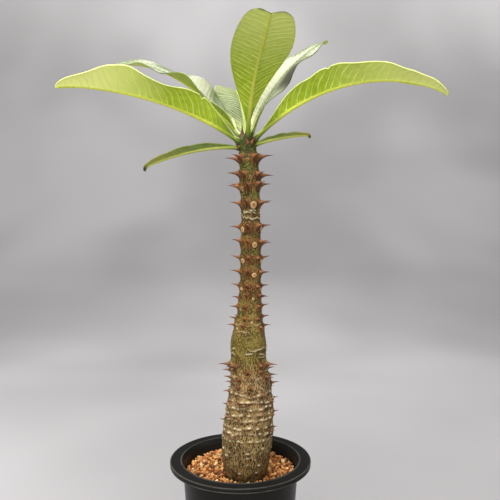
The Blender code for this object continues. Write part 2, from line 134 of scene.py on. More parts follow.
# %% A material starts as one Principled shader
def new_material(name, **settings):
    """A material, what adds a node to it, and what links the inputs of its Principled shader."""
    material = bpy.data.materials.new(name)
    material.use_nodes = True
    tree = material.node_tree
    shader = tree.nodes["Principled BSDF"]
    for key, value in settings.items():
        shader.inputs[key.replace("_", " ")].default_value = value
    return material, partial(add_node, tree), partial(join, tree, shader)


def layered(add, colour, layers):
    """Lays colours over a first one. Each layer is (share, colour), a hex colour or a node."""
    for share, over in layers:
        fixed = {7: over} if isinstance(over, str) else {}
        linked = {} if fixed else {7: over}
        colour = add("Mix", {**MIXED, **fixed}, {0: share, 6: colour, **linked})
    return colour


def painted(add, name):
    """The three numbers that a mesh keeps at its points under a name."""
    layer = add("Attribute", {"attribute_name": name})
    return add("SeparateXYZ", None, {0: layer.outputs["Vector"]}).outputs


# %% Curves and directions that the shapes share
def through(points, place):
    """Values at places of a smooth curve through (place, value) points."""
    places, values = np.array([point[:2] for point in points], float).T
    slopes = np.gradient(values, places)
    place = np.clip(np.asarray(place, float), places[0], places[-1])
    k = np.clip(np.searchsorted(places, place) - 1, 0, len(places) - 2)
    span = places[k + 1] - places[k]
    t = (place - places[k]) / span
    hold = (1 + 2 * t) * (1 - t) ** 2 * values[k] + t * t * (3 - 2 * t) * values[k + 1]
    lean = t * (1 - t) ** 2 * slopes[k] - t * t * (1 - t) * slopes[k + 1]
    return hold + span * lean


def base_middle_tip(values, place):
    """Value at place 0..1 of the parabola through its base, middle and tip values."""
    base, middle, tip = values
    ends = base * (1 - place) * (1 - 2 * place) + tip * place * (2 * place - 1)
    return ends + middle * 4 * place * (1 - place)


def hump(*measures):
    """1 where all measures are 0, falling smoothly as any of them goes past 1."""
    return np.exp(-sum(measure ** 2 for measure in measures))


def direction(azimuth, slope):
    """Unit vectors at azimuths from +X and slopes up from level, in degrees."""
    bearing, lift = np.radians(azimuth), np.radians(slope)
    return np.stack([np.cos(lift) * np.cos(bearing), np.cos(lift) * np.sin(bearing),
                     np.sin(lift) + 0 * bearing], -1)


# %% From points to a piece in the frame
def new_piece(name, points, faces, materials, slots=None):
    """Smooth object over points in mm. slots gives each face's material number."""
    mesh = bpy.data.meshes.new(name)
    mesh.from_pydata((np.asarray(points) * MM).tolist(), [], faces)
    for material in materials:
        mesh.materials.append(material)
    if slots is not None:
        mesh.polygons.foreach_set("material_index", np.asarray(slots, np.int32))
    mesh.shade_smooth()
    mesh.update()
    piece = bpy.data.objects.new(name, mesh)
    bpy.context.scene.collection.objects.link(piece)
    return piece


def paint(piece, name, values):
    """Keeps three numbers for each point of a mesh, for its material to read."""
    layer = piece.data.attributes.new(name, "FLOAT_VECTOR", "POINT")
    layer.data.foreach_set("vector", np.asarray(values, np.float32).ravel())


def face_outward(piece):
    """Turns every face of a closed mesh outward."""
    shape = bmesh.new()
    shape.from_mesh(piece.data)
    bmesh.ops.recalc_face_normals(shape, faces=shape.faces)
    shape.to_mesh(piece.data)
    shape.free()


def dress(piece, slot, *nodes):
    """Places a finished piece in the frame: it rides on the part and stands for its plain solids."""
    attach(piece, "root")
    if nodes:
        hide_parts(*nodes)
    triangles = sum(len(face.vertices) - 2 for face in piece.data.polygons)
    print(f"{piece.name}: {triangles} triangles")


def tube_faces(rows, around):
    """Faces of a skin of rings, each ring joined to the next."""
    faces = []
    for row in range(rows - 1):
        for k in range(around):
            after = (k + 1) % around
            faces.append((row * around + k, row * around + after,
                          (row + 1) * around + after, (row + 1) * around + k))
    return faces


# %% [markdown]
# ## Camera
#
# The photograph looks level at the plant from a little under half a metre, a hand's width below
# the crown, so the leaves' undersides show and the soil is seen from above. A 40 mm lens on a
# 36 mm sensor gives the view's 48 degrees.
#
# Blender's default view transform rolls bright colours off towards white, as film does. The
# photograph is a plain digital one, with clear blacks and full greens, so we show light with the
# Standard transform. Every colour below is then the colour that the eye gets in even light.

# %% Camera and plain digital colour
CAMERA_PLACE = (8.1, -476.2, 310.5)
CAMERA_PITCH = -1.75
CAMERA_LENS = 40.39

eye = bpy.data.cameras.new("camera")
eye.lens, eye.sensor_width, eye.clip_start = CAMERA_LENS, 36.0, 0.01
camera = bpy.data.objects.new("camera", eye)
camera.location = Vector(CAMERA_PLACE) * MM
camera.rotation_euler = (math.radians(90 + CAMERA_PITCH), 0, 0)
bpy.context.scene.collection.objects.link(camera)
bpy.context.scene.camera = camera
bpy.context.scene.view_settings.view_transform = "Standard"
print("camera", CAMERA_LENS, "mm at", CAMERA_PLACE)

# %% [markdown]
# ## Studio
#
# The plant stands on a pale floor that sweeps up behind it, so no horizon shows. A sweep is one
# curved sheet: flat, then a quarter circle, then upright. Light and shade are painted into its matt
# paper: soft clouds of painted shade from noise, and painted light in a ramp by height that makes
# the floor and the top paler than the middle.

# %% Floor and sweep
SWEEP_NEAR, SWEEP_FAR, SWEEP_BEND, SWEEP_TOP, SWEEP_HALF = -2600, 800, 1400, 1650, 3600
SWEEP_STEPS = 24
PAPER_HEIGHT = 1500 * MM  # where the ramp of tones ends
# Painted light: how pale the paper is painted at each height, darkest a little above the floor and palest at
# the top
PAPER_PAINTED_LIGHT = [(0.0, "#D2D2D2"), (0.03, "#CACACA"), (0.12, "#C1C1C1"), (0.40, "#CACACA"),
               (0.60, "#D4D4D4"), (0.78, "#E8E8E8"), (1.0, "#FFFFFF")]

side_line = [(SWEEP_NEAR, 0), (SWEEP_FAR, 0)]
for k in range(1, SWEEP_STEPS + 1):
    angle = math.radians(90 * k / SWEEP_STEPS)
    side_line.append((SWEEP_FAR + SWEEP_BEND * math.sin(angle), SWEEP_BEND * (1 - math.cos(angle))))
side_line.append((SWEEP_FAR + SWEEP_BEND, SWEEP_TOP))
sweep_points = [(x, y, z) for y, z in side_line for x in (-SWEEP_HALF, SWEEP_HALF)]
sweep_faces = [(2 * k, 2 * k + 1, 2 * k + 3, 2 * k + 2) for k in range(len(side_line) - 1)]

paper, add, finish = new_material("studio_paper", Roughness=0.95)
surface = add("NewGeometry")
# Painted shade: soft clouds of darker and paler paper from noise
clouds = add("TexNoise", {"Scale": cells(769.2), "Detail": 2, "Roughness": 0.45}, {0: surface})
painted_cloud_share = add("MapRange", {**SOFTLY, 1: 0.34, 2: 0.66}, {0: clouds})
cloud_shaded_paper = add("Mix", {**MIXED, 6: "#AEABAC", 7: "#C8C5C6"}, {0: painted_cloud_share})
height = add("SeparateXYZ", None, {0: surface}).outputs[2]
height_share = add("Math", {"operation": "DIVIDE", 1: PAPER_HEIGHT}, {0: height})
painted_light_by_height = add("ValToRGB", {"stops": PAPER_PAINTED_LIGHT}, {0: height_share})
finish({"Base Color": add("Mix", TINTED, {6: cloud_shaded_paper, 7: painted_light_by_height})})
sweep = new_piece("studio_sweep", sweep_points, sweep_faces, [paper])


# %% Soft light from above, weaker from the front, and one for the backdrop
def soft_light(name, place, size, watts, aim=(0, 0, 250)):
    """A soft box at a place, turned to what it lights. Places and sizes are in mm."""
    lamp = bpy.data.lights.new(name, "AREA")
    lamp.shape = "RECTANGLE"
    lamp.size, lamp.size_y = size[0] * MM, size[1] * MM
    lamp.energy = watts
    light = bpy.data.objects.new(name, lamp)
    light.location = Vector(place) * MM
    light.rotation_euler = (Vector(aim) - Vector(place)).to_track_quat("-Z", "Y").to_euler()
    bpy.context.scene.collection.objects.link(light)


soft_light("top_light", (-100, -60, 1500), (1100, 800), 28)
soft_light("key_light", (-440, -760, 1250), (500, 400), 13)
soft_light("front_light", (-300, -1600, 500), (1100, 900), 14.5)
soft_light("right_light", (1300, -300, 700), (700, 1100), 2.5)
soft_light("backdrop_light", (0, 1500, 2500), (3800, 400), 52, aim=(0, 2200, 1300))

world = bpy.data.worlds.new("studio_air")
bpy.context.scene.world = world
world.use_nodes = True
air = world.node_tree.nodes["Background"].inputs
air["Color"].default_value, air["Strength"].default_value = linear("#E6E6E4"), 0.34
print(len(bpy.data.lights), "lamps")

# %% [markdown]
# ## Pot
#
# A nursery pot is blow- or injection-moulded from black polypropylene: thin walls, a broad flat
# rim with a bead, and a short skirt that lets pots be lifted from a stack. A lathe is the natural
# tool, so we draw half its outline and turn it. Small arcs at every edge catch the light in the
# thin bright lines that tell the eye it is plastic.

# %% Sizes of the pot, taken from the frame. RIM, MOUTH, NECK and FOOT are radii
pot_low, pot_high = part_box("pot")
POT_TOP = pot_high.z / MM
RIM = (pot_high.x - pot_low.x) / 2 / MM
MOUTH, NECK, FOOT = RIM - 9.6, RIM - 11.0, RIM - 20.0
POT_WALL, POT_FLOOR = 1.3, 2.0
SOIL_LEVEL = POT_TOP - 10.7
print(f"pot {2 * RIM:.1f} mm wide and {POT_TOP:.1f} mm high")


# %% Its outline, with every edge rounded
def rounded(corners, steps=4):
    """Points of an outline whose corners (x, y, radius) are turned into short arcs."""
    line = []
    for k, (x, y, radius) in enumerate(corners):
        here = np.array([x, y], float)
        if radius == 0 or k in (0, len(corners) - 1):
            line.append(here)
            continue
        back = np.array(corners[k - 1][:2], float) - here
        on = np.array(corners[k + 1][:2], float) - here
        reach = min(radius, np.linalg.norm(back) * 0.45, np.linalg.norm(on) * 0.45)
        start = here + back / np.linalg.norm(back) * reach
        end = here + on / np.linalg.norm(on) * reach
        for step in range(steps + 1):
            t = step / steps
            line.append(start * (1 - t) ** 2 + here * 2 * t * (1 - t) + end * t * t)
    return line


def inner_wall(height):
    """Radius of the inner wall at a height."""
    share = (height - POT_FLOOR) / (POT_TOP - 4.4 - POT_FLOOR)
    return FOOT + share * (NECK - FOOT) - POT_WALL


pot_outline = rounded([
    (0, POT_FLOOR, 0), (FOOT - POT_WALL, POT_FLOOR, 1.0), (inner_wall(104), 104.0, 0.5),
    (MOUTH - 2.3, POT_TOP - 4.0, 0.6), (MOUTH - 0.9, POT_TOP - 0.1, 0.6), (MOUTH - 0.2, POT_TOP, 0.3),
    (MOUTH + 0.7, POT_TOP - 0.05, 0.3), (MOUTH + 1.0, POT_TOP - 0.45, 0.3),
    (RIM - 1.9, POT_TOP - 0.5, 0.4), (RIM - 1.2, POT_TOP - 0.15, 0.4), (RIM, POT_TOP - 0.3, 0.8),
    (RIM, POT_TOP - 2.3, 0.5), (RIM - 0.8, POT_TOP - 2.7, 0.3), (RIM - 0.8, POT_TOP - 3.1, 0.3),
    (RIM - 0.1, POT_TOP - 3.4, 0.3), (RIM - 0.2, POT_TOP - 4.3, 0.4), (RIM - 1.9, POT_TOP - 4.4, 0.3),
    (RIM - 2.4, POT_TOP - 1.9, 0.8), (NECK + 2.2, POT_TOP - 1.7, 1.2), (NECK + 0.2, POT_TOP - 5.0, 2.0),
    (FOOT + 1.4, 7.0, 1.5), (FOOT + 0.6, 5.6, 0.5), (FOOT, 0.6, 0.6), (FOOT - 1.0, 0.0, 0.5),
    (FOOT - 3.4, 0.0, 0.5), (FOOT - 4.0, 0.5, 0.4), (0, 0.5, 0)])
print(len(pot_outline), "points in the pot's outline")

# %% Turn the outline
POT_SEGMENTS = 144

rings = pot_outline[1:-1]
turns = np.linspace(0, math.tau, POT_SEGMENTS, endpoint=False)
pot_points = [(r * math.cos(a), r * math.sin(a), z) for r, z in rings for a in turns]
pot_faces = tube_faces(len(rings), POT_SEGMENTS)
for pole, ring, flip in ((pot_outline[0], 0, True), (pot_outline[-1], len(rings) - 1, False)):
    pot_points.append((0, 0, pole[1]))
    for k in range(POT_SEGMENTS):
        pair = (ring * POT_SEGMENTS + k, ring * POT_SEGMENTS + (k + 1) % POT_SEGMENTS)
        pot_faces.append((*(pair[::-1] if flip else pair), len(pot_points) - 1))
pot_faces = [face[::-1] for face in pot_faces]
plastic, add, finish = new_material("black_polypropylene", IOR=1.33, Specular_IOR_Level=0.2)
pot = new_piece("pot_shell", pot_points, pot_faces, [plastic])
face_outward(pot)

# %% Drill the drain holes
DRAIN_HOLES, DRAIN_RADIUS, DRAIN_CIRCLE, DRILL_LENGTH = 8, 3.5, 27.0, 8.0
SHARP_ANGLE = 35  # degrees between faces from which an edge shows sharp
drills = bpy.data.collections.new("drills")
bpy.context.scene.collection.children.link(drills)
for k in range(DRAIN_HOLES):
    angle = math.tau * (k + 0.5) / DRAIN_HOLES
    shape = bmesh.new()
    bmesh.ops.create_cone(shape, cap_ends=True, segments=24, radius1=DRAIN_RADIUS * MM,
                          radius2=DRAIN_RADIUS * MM, depth=DRILL_LENGTH * MM)
    drill_mesh = bpy.data.meshes.new("drill")
    shape.to_mesh(drill_mesh)
    shape.free()
    drill = bpy.data.objects.new("drill", drill_mesh)
    drill.location = Vector((math.cos(angle), math.sin(angle), 0)) * DRAIN_CIRCLE * MM
    drills.objects.link(drill)
cut = pot.modifiers.new("drain_holes", "BOOLEAN")
cut.operand_type, cut.collection, cut.solver = "COLLECTION", drills, "EXACT"
bpy.context.view_layer.update()
pot.data = bpy.data.meshes.new_from_object(pot.evaluated_get(bpy.context.evaluated_depsgraph_get()))
pot.modifiers.clear()
for drill in list(drills.objects):
    bpy.data.objects.remove(drill, do_unlink=True)
bpy.data.collections.remove(drills)
pot.data.shade_smooth()
pot.data.set_sharp_from_angle(angle=math.radians(SHARP_ANGLE))
dress(pot, "pot_plastic", "pot")

# %% [markdown]
# Black polypropylene is never quite black. It has a satin skin from the mould, a fine grain, and
# on a used pot a thin film of dust. The flat rim is given a darker tone than the wall: the two
# tones are mixed by how far a face looks up, and by noise.
#
# The rounded edges of the rim get thin brownish-grey lines of painted highlight, where they would
# catch the light. They are three rings, each at a known distance from the pot's axis and at a known
# height: the rim's inner edge, its outer edge, and the edge of the skirt.

# %% Pot material: satin polypropylene, dusty on its wall, with painted highlight lines on its edges
HIGHLIGHT_LINE_WIDTH = 0.6  # mm to each side of an edge
HIGHLIGHT_EDGES = [(MOUTH + 0.3, POT_TOP), (RIM - 0.4, POT_TOP - 0.2), (RIM - 0.1, POT_TOP - 3.6)]

surface = add("NewGeometry")
facing = add("SeparateXYZ", None, {0: surface.outputs["Normal"]})
upward = add("MapRange", {1: 0.55}, {0: facing.outputs[2]})
smears = add("TexNoise", {"Scale": cells(11.11), "Detail": 5, "Roughness": 0.62}, {0: surface})
film = add("MapRange", {1: 0.35, 2: 0.65, 3: 1.0, 4: 0.7}, {0: smears})
# The faces that look up get the darker tone, a little less of it where the noise is high
darker_on_top_share = add("Math", TIMES, {0: upward, 1: film})
plastic_tone = add("Mix", {**MIXED, 6: "#1C1B19", 7: "#0D0D0C"}, {0: darker_on_top_share})
level_only = add("VectorMath", {"operation": "MULTIPLY", 1: (1, 1, 0)}, {0: surface})
from_axis = add("VectorMath", LENGTH, {0: level_only})
height = add("SeparateXYZ", None, {0: surface}).outputs[2]
edge_highlight = None
# Painted highlight: thin brownish-grey lines on the three rounded edges, where they would catch the light
for edge_radius, edge_height in HIGHLIGHT_EDGES:
    aside = add("Math", {"operation": "SUBTRACT", 1: edge_radius * MM}, {0: from_axis})
    above = add("Math", {"operation": "SUBTRACT", 1: edge_height * MM}, {0: height})
    away = add("VectorMath", LENGTH, {0: add("CombineXYZ", None, {0: aside, 1: above})})
    ring = add("MapRange", {**SOFTLY, 1: 0.3 * HIGHLIGHT_LINE_WIDTH * MM, 2: 1.3 * HIGHLIGHT_LINE_WIDTH * MM,
                            3: 1.0, 4: 0.0}, {0: away})
    edge_highlight = add("Math", {"operation": "MAXIMUM"}, {0: edge_highlight, 1: ring}) if edge_highlight else ring
uneven = add("MapRange", {1: 0.35, 2: 0.65, 3: 0.35}, {0: smears})
painted_edge_highlight = add("Math", TIMES, {0: edge_highlight, 1: uneven})
# The moulded grain is finer than this. It is drawn as coarse as it needs to show
grain = add("TexNoise", {"Scale": cells(0.5556)}, {0: surface})
finish({"Base Color": layered(add, plastic_tone, [(painted_edge_highlight, "#4C4740")]),
        "Roughness": add("MapRange", {3: 0.34, 4: 0.75}, {0: upward}),
        "Normal": add("Bump", {"Strength": 0.12, "Distance": 0.2 * MM}, {"Height": grain})})
print("pot material:", len(plastic.node_tree.nodes), "nodes")

# %% [markdown]
# ## Soil
#
# The pot is filled with a gritty mix: small balls of fired clay, orange to brown and 2 to 4 mm
# across, with a few cream grains of pumice. A plain bumpy surface would never read as loose
# grains, so each ball is its own lump in one mesh: a ball of 80 faces, squashed and pushed about
# at random. They lie on a hexagonal grid that is shaken, in two layers, over a bed of the soil
# beneath, which is painted near-black brown as the shade in the gaps between them.

# %% Where the soil's surface lies
HEAP_PLACE, HEAP_SPREAD, HEAP_HEIGHT = (-19.0, 14.0), 15.0, 3.4
STEM_FOOT, STEM_SETBACK, STEM_FOOT_RADIUS = 4.7, -9.5, 16.6
SOIL_EDGE = inner_wall(SOIL_LEVEL)


def soil_height(x, y):
    """Height of the soil's surface over the plane of its edge."""
    apart = (x - HEAP_PLACE[0]) ** 2 + (y - HEAP_PLACE[1]) ** 2
    return HEAP_HEIGHT * math.exp(-apart / HEAP_SPREAD ** 2)


# %% Scatter the grains
GRAIN_SPACING = 2.85
GRAIN_LAYERS = ((0.0, 0.96), (-2.3, 1.0))  # depth in mm and size
PUMICE_SHARE = 0.012
# Large pale grains that stand out on the surface: (x, y, diameter)
PUMICE_PLACES = [(-33.4, 3.4, 4.2), (-21.3, 3.4, 4.2), (37.3, 14.2, 5.4), (6.5, -31.4, 5.6),
                 (-40.6, -2.8, 3.6), (-19.5, -25.9, 4.4), (24.2, -2.6, 4.0)]
shake = random.Random(5)


def grain_places():
    """Places (x, y, z, diameter) of all grains, layer by layer."""
    found = []
    reach = int(SOIL_EDGE / GRAIN_SPACING) + 2
    for depth, size in GRAIN_LAYERS:
        for row in range(-reach, reach + 1):
            for column in range(-reach, reach + 1):
                x = (column + 0.5 * (row % 2)) * GRAIN_SPACING + shake.uniform(-0.9, 0.9)
                y = row * GRAIN_SPACING * 0.87 + shake.uniform(-0.9, 0.9)
                across = shake.triangular(1.8, 4.8, 2.8) * size
                if math.hypot(x, y) > SOIL_EDGE - across * 0.48:
                    continue
                if math.hypot(x - STEM_FOOT, y - STEM_SETBACK) < STEM_FOOT_RADIUS + across * 0.42:
                    continue
                z = SOIL_LEVEL + soil_height(x, y) + depth + shake.uniform(-0.6, 0.7)
                found.append((x, y, z, across))
    return found


all_grains = grain_places()
pale = [shake.random() < PUMICE_SHARE for _ in all_grains]
clay_places = [grain for grain, is_pale in zip(all_grains, pale) if not is_pale]
pumice_places = [grain for grain, is_pale in zip(all_grains, pale) if is_pale]
for x, y, across in PUMICE_PLACES:
    pumice_places.append((x, y, SOIL_LEVEL + soil_height(x, y) + 0.9, across))
print(len(clay_places), "grains of clay and", len(pumice_places), "of pumice")


# %% Shape the grains
DENTS, DENT_DEPTH = 5, 0.16  # pushed into each grain, depth as a share of its diameter


def lumps(name, places, material, squash):
    """Many rounded grains as one mesh, each one turned, squashed and dented at random."""
    ball = bmesh.new()
    bmesh.ops.create_icosphere(ball, subdivisions=2, radius=0.5)
    round_points = np.array([v.co for v in ball.verts])
    round_faces = np.array([[v.index for v in face.verts] for face in ball.faces])
    ball.free()
    chance = np.random.default_rng(9)
    points, faces = [], []
    for x, y, z, across in places:
        sizes = chance.uniform(1 - squash, 1 + squash, 3)
        axes, _ = np.linalg.qr(chance.normal(size=(3, 3)))
        dents = chance.normal(size=(DENTS, 3))
        dents /= np.linalg.norm(dents, axis=1)[:, None]
        lump = round_points * sizes
        for dent in dents:
            facing = np.clip(round_points @ dent * 2, 0, 1)
            lump = lump - dent * (DENT_DEPTH * facing ** 3)[:, None]
        faces.append(round_faces + len(points) * len(round_points))
        points.append(lump @ axes.T * across + (x, y, z))
    return new_piece(name, np.concatenate(points), np.concatenate(faces).tolist(), [material])


clay, *clay_tools = new_material("fired_clay", Roughness=0.9, IOR=1.45)
pumice, *pumice_tools = new_material("pumice", Roughness=0.92, IOR=1.45)
dress(lumps("clay_grains", clay_places, clay, 0.27), "clay_grains")
dress(lumps("pumice_grains", pumice_places, pumice, 0.28), "clay_grains")

# %% The bed under the grains
BED_DROP, BED_LOW = 2.6, POT_FLOOR + 0.6
BED_RINGS, BED_SEGMENTS = 24, 96
bed_turns = np.linspace(0, math.tau, BED_SEGMENTS, endpoint=False)
bed_points = []
for radius in np.linspace(0, SOIL_EDGE - 0.4, BED_RINGS)[1:]:
    for angle in bed_turns:
        x, y = radius * math.cos(angle), radius * math.sin(angle)
        bed_points.append((x, y, SOIL_LEVEL - BED_DROP + soil_height(x, y) + shake.uniform(-0.4, 0.4)))
bed_edge = inner_wall(BED_LOW) - 0.5
bed_points += [(bed_edge * math.cos(angle), bed_edge * math.sin(angle), BED_LOW) for angle in bed_turns]
bed_points += [(0, 0, SOIL_LEVEL - BED_DROP), (0, 0, BED_LOW)]
bed_faces = tube_faces(BED_RINGS, BED_SEGMENTS)
last_ring, top_pole = (BED_RINGS - 1) * BED_SEGMENTS, BED_RINGS * BED_SEGMENTS
for k in range(BED_SEGMENTS):
    after = (k + 1) % BED_SEGMENTS
    bed_faces.append((after, k, top_pole))
    bed_faces.append((last_ring + k, last_ring + after, top_pole + 1))
# The bed is the soil under the grains, painted near-black brown: painted shade where it shows in the gaps
shaded_bed_coat, *shaded_bed_tools = new_material("soil_bed_painted_shade", Roughness=0.95, IOR=1.4)
bed = new_piece("soil_bed", bed_points, bed_faces, [shaded_bed_coat])
face_outward(bed)
dress(bed, "clay_grains", "soil")

# %% [markdown]
# Fired clay is matt and dusty. Its colour differs from ball to ball with the heat of the kiln, from
# light orange to brown, so a random number for every loose lump picks the colour from a ramp, and
# fine noise mottles it. Pumice is a glass foam: cream to white and pitted.


# %% Clay, pumice and bed materials
def grain_finish(add, finish, colours, pits):
    """Each lump takes its own colour from the ramp. Noise mottles and pits it."""
    lump = add("NewGeometry")
    ramp = add("ValToRGB", {"stops": colours}, {0: lump.outputs["Random Per Island"]})
    mottle = add("TexNoise", {"Scale": cells(1.4286), "Detail": 3, "Roughness": 0.6}, {0: lump})
    shade = add("MapRange", {1: 0.3, 2: 0.7, 3: 0.62, 4: 1.2}, {0: mottle})
    finish({"Base Color": add("Mix", TINTED, {6: ramp, 7: shade}),
            "Normal": add("Bump", {"Strength": pits, "Distance": 0.4 * MM}, {"Height": mottle})})


CLAY_COLOURS = [(0.0, "#4E2A14"), (0.14, "#74421F"), (0.32, "#A0602C"), (0.52, "#C08040"),
                (0.70, "#D89E58"), (0.82, "#B06C42"), (0.91, "#E2B878"), (1.0, "#945224")]
grain_finish(*clay_tools, CLAY_COLOURS, 0.9)
grain_finish(*pumice_tools, [(0.0, "#D2B86C"), (1.0, "#E6D296")], 0.8)
# Near-black brown of the bed: painted shade in the gaps between grains
grain_finish(*shaded_bed_tools, [(0.0, "#221008"), (1.0, "#2C160A")], 0.6)
print("clay:", len(clay.node_tree.nodes), "nodes")

# %% [markdown]
# ## Stem
#
# The stem stores water. Its swollen foot is two seasons old and has turned to grey-brown bark with
# fine upright cracks, and its old leaf scars have been pulled sideways into low warts. Above the
# swelling the skin is smooth and olive, and greener towards the tip. Each leaf has left an oval,
# tan scar, and over every scar stands a pair of thorns on a brown cushion. Two rough pale rings
# show where growth paused for a winter.
#
# All of that is relief and colour on one round form, so the stem is a fine grid of points round an
# axis, whose radius is worked out from these parts added up. The same numbers are kept at every
# point for the material to read, so colour and relief always agree.

# %% The stem's form, as in the plain solid: (height over the soil, radius) and (height, axis x)
STEM_PROFILE = [(-12, 15.4), (0, 16.6), (4, 17.8), (12, 19.6), (20, 20.6), (29, 21.0), (38, 20.9),
                (46, 19.9), (54, 19.4), (63, 18.5), (71, 17.2), (80, 16.1), (88, 14.9), (101, 14.6),
                (113, 14.7), (119, 13.5), (126, 11.5), (133, 10.1), (142, 9.2), (158, 8.4),
                (176, 8.1), (190, 8.1), (204, 7.8), (224, 7.6), (240, 7.7), (252, 7.8), (264, 7.4),
                (272, 7.2), (277.2, 7.2)]
STEM_AXIS = [(-46, 4.4), (0, 4.7), (14, 4.8), (29, 5.7), (42, 6.6), (54, 7.8), (66, 8.4), (80, 8.4),
             (92, 7.2), (105, 6.8), (147, 8.1), (189, 8.8), (231, 8.3), (264, 7.0), (277.2, 5.5)]
CROWN_HEIGHT, CROWN_RADIUS = 277.2, 7.2
# Tiers of leaf scars: (height, thorn length, azimuth of the tier's first scar)
THORN_TIERS = [(37.5, 4.5, -128), (42.5, 5.0, -80), (50, 5.5, -130), (57, 5.5, -78),
               (62.5, 6.0, -135), (68.5, 6.5, -74), (74.5, 8.0, -104), (81, 8.5, -140),
               (86, 9.0, -76), (92.5, 11.0, -150), (123.5, 7.5, -140), (130.5, 8.0, -76),
               (139.5, 8.0, -138), (148, 8.0, -76), (157.5, 8.5, -138), (168, 9.0, -74),
               (180, 9.5, -137), (193, 10.0, -74), (206, 11.0, -138), (225, 11.5, -77),
               (239.5, 12.0, -134), (249, 12.5, -83), (262, 13.5, -98)]
SCARS_PER_TIER = 3
PAIR_REACH, THORN_LIFT = 4.9, 3.2


def stem_middle(level):
    """Point on the stem's axis at a height over the soil."""
    return np.array([through(STEM_AXIS, level), STEM_SETBACK, SOIL_LEVEL + level])


crown_middle = stem_middle(CROWN_HEIGHT)

# %% Scars and thorns, by the same seeded rule as the plain solid
dice = random.Random(7)
scars, thorns = [], []
for height, length, first in THORN_TIERS:
    for k in range(SCARS_PER_TIER):
        azimuth = first + 360.0 * k / SCARS_PER_TIER + dice.uniform(-5, 5)
        scars.append((azimuth, height + dice.uniform(-1.1, 1.1), length * dice.uniform(0.88, 1.06)))
for azimuth, height, length in scars:
    level = height + THORN_LIFT
    spread = math.degrees(PAIR_REACH / through(STEM_PROFILE, level))
    thorns += [(azimuth - spread, level, length), (azimuth + spread, level, length)]
print(len(scars), "leaf scars and", len(thorns), "thorns")

# %% A grid of points round the stem, with the marks that it keeps
STEM_AROUND = 184
heights = np.concatenate([np.arange(-8, 128, 0.62), np.arange(128, CROWN_HEIGHT, 0.8), [CROWN_HEIGHT]])
azimuths = 360.0 * (np.arange(STEM_AROUND) / STEM_AROUND)
grid_azimuth, grid_height = np.meshgrid(azimuths, heights)
stem_radii = through(STEM_PROFILE, heights)[:, None] + 0 * grid_azimuth
relief, scar_shown, brown, pale, cracks_and_painted_shadow = (np.zeros_like(grid_azimuth) for _ in range(5))
scar_away = np.full_like(grid_azimuth, 2.0)
print("stem grid", relief.shape)


def patch(azimuth, level, reach):
    """Rows of the grid within reach of a level, and how far round and up its points lie, in mm."""
    rows = np.abs(heights - level) < reach
    apart = (grid_azimuth[rows] - azimuth + 180.0) % 360.0 - 180.0
    return rows, np.radians(apart) * stem_radii[rows], grid_height[rows] - level


def mark(marks, rows, values):
    """Keeps the stronger of a mark and new values."""
    marks[rows] = np.maximum(marks[rows], values)


def skin_noise(around, cell, seed):
    """Smooth noise -1..1 with so many cells round the stem, each cell mm high. 0 is only round it."""
    up = (grid_height - heights[0]) / cell if cell else 0 * grid_height
    lattice = np.random.default_rng(seed).uniform(-1, 1, (int(np.max(up)) + 3, around))
    x = grid_azimuth / 360.0 * around
    i, j = np.floor(x).astype(int), np.floor(up).astype(int)
    u, v = x - i, up - j
    u, v = u * u * (3 - 2 * u), v * v * (3 - 2 * v)
    left, right = i % around, (i + 1) % around
    bottom = lattice[j, left] * (1 - u) + lattice[j, right] * u
    top = lattice[j + 1, left] * (1 - u) + lattice[j + 1, right] * u
    return bottom * (1 - v) + top * v


# %% Cushions, thorn feet and leaf scars
OLD_BARK = 100.0  # below this height the skin has turned to bark
YOUNG_SKIN = 236.0  # above this height the scars are still fresh and brown
# Leaf scars grow and shrink up the stem: (height, half width) and (height, half height), in mm
SCAR_WIDTHS = [(110, 1.3), (145, 1.3), (160, 1.8), (180, 2.2), (206, 2.1), (228, 2.5), (243, 1.6),
               (262, 1.2)]
SCAR_HEIGHTS = [(110, 1.3), (145, 1.3), (160, 1.6), (180, 2.3), (206, 2.8), (228, 3.3), (243, 2.1),
                (262, 1.6)]
scar_dice = np.random.default_rng(21)

for azimuth, height, length in scars:
    rows, round_mm, rise = patch(azimuth, height, 16)
    relief[rows] += 0.10 * length * hump(round_mm / 6.0, (rise - 1.5) / 4.2)
    size, shown = scar_dice.uniform(0.72, 1.0), scar_dice.uniform(0.7, 1.0)
    if height > OLD_BARK:
        half_wide = size * float(through(SCAR_WIDTHS, height))
        half_high = size * float(through(SCAR_HEIGHTS, height))
        away = np.hypot(round_mm / half_wide, (rise - 0.3) / half_high)
        relief[rows] += 0.45 * np.exp(-(away / 0.95) ** 6) - 0.35 * hump(away / 0.5)
        relief[rows] -= 0.25 * hump((away - 1.3) / 0.25)
        if height > YOUNG_SKIN:
            shown = 0.25
            mark(brown, rows, 0.9 * np.exp(-away ** 4))
        nearer = away < scar_away[rows]
        scar_away[rows] = np.where(nearer, away, scar_away[rows])
        scar_shown[rows] = np.where(nearer, shown, scar_shown[rows])

for azimuth, level, length in thorns:
    rows, round_mm, rise = patch(azimuth, level, 14)
    below = np.where(rise < 0, 4.6, 2.4)
    relief[rows] += 0.15 * length * hump(round_mm / 2.9, rise / below)
    strength = np.interp(level, [40, 95, 125, 180, 270], [0.25, 0.6, 0.7, 1.0, 1.0])
    mark(brown, rows, np.exp(-(np.hypot(round_mm / 3.7, rise / (below * 1.25))) ** 3) * strength)
print(f"relief up to {relief.max():.1f} mm")
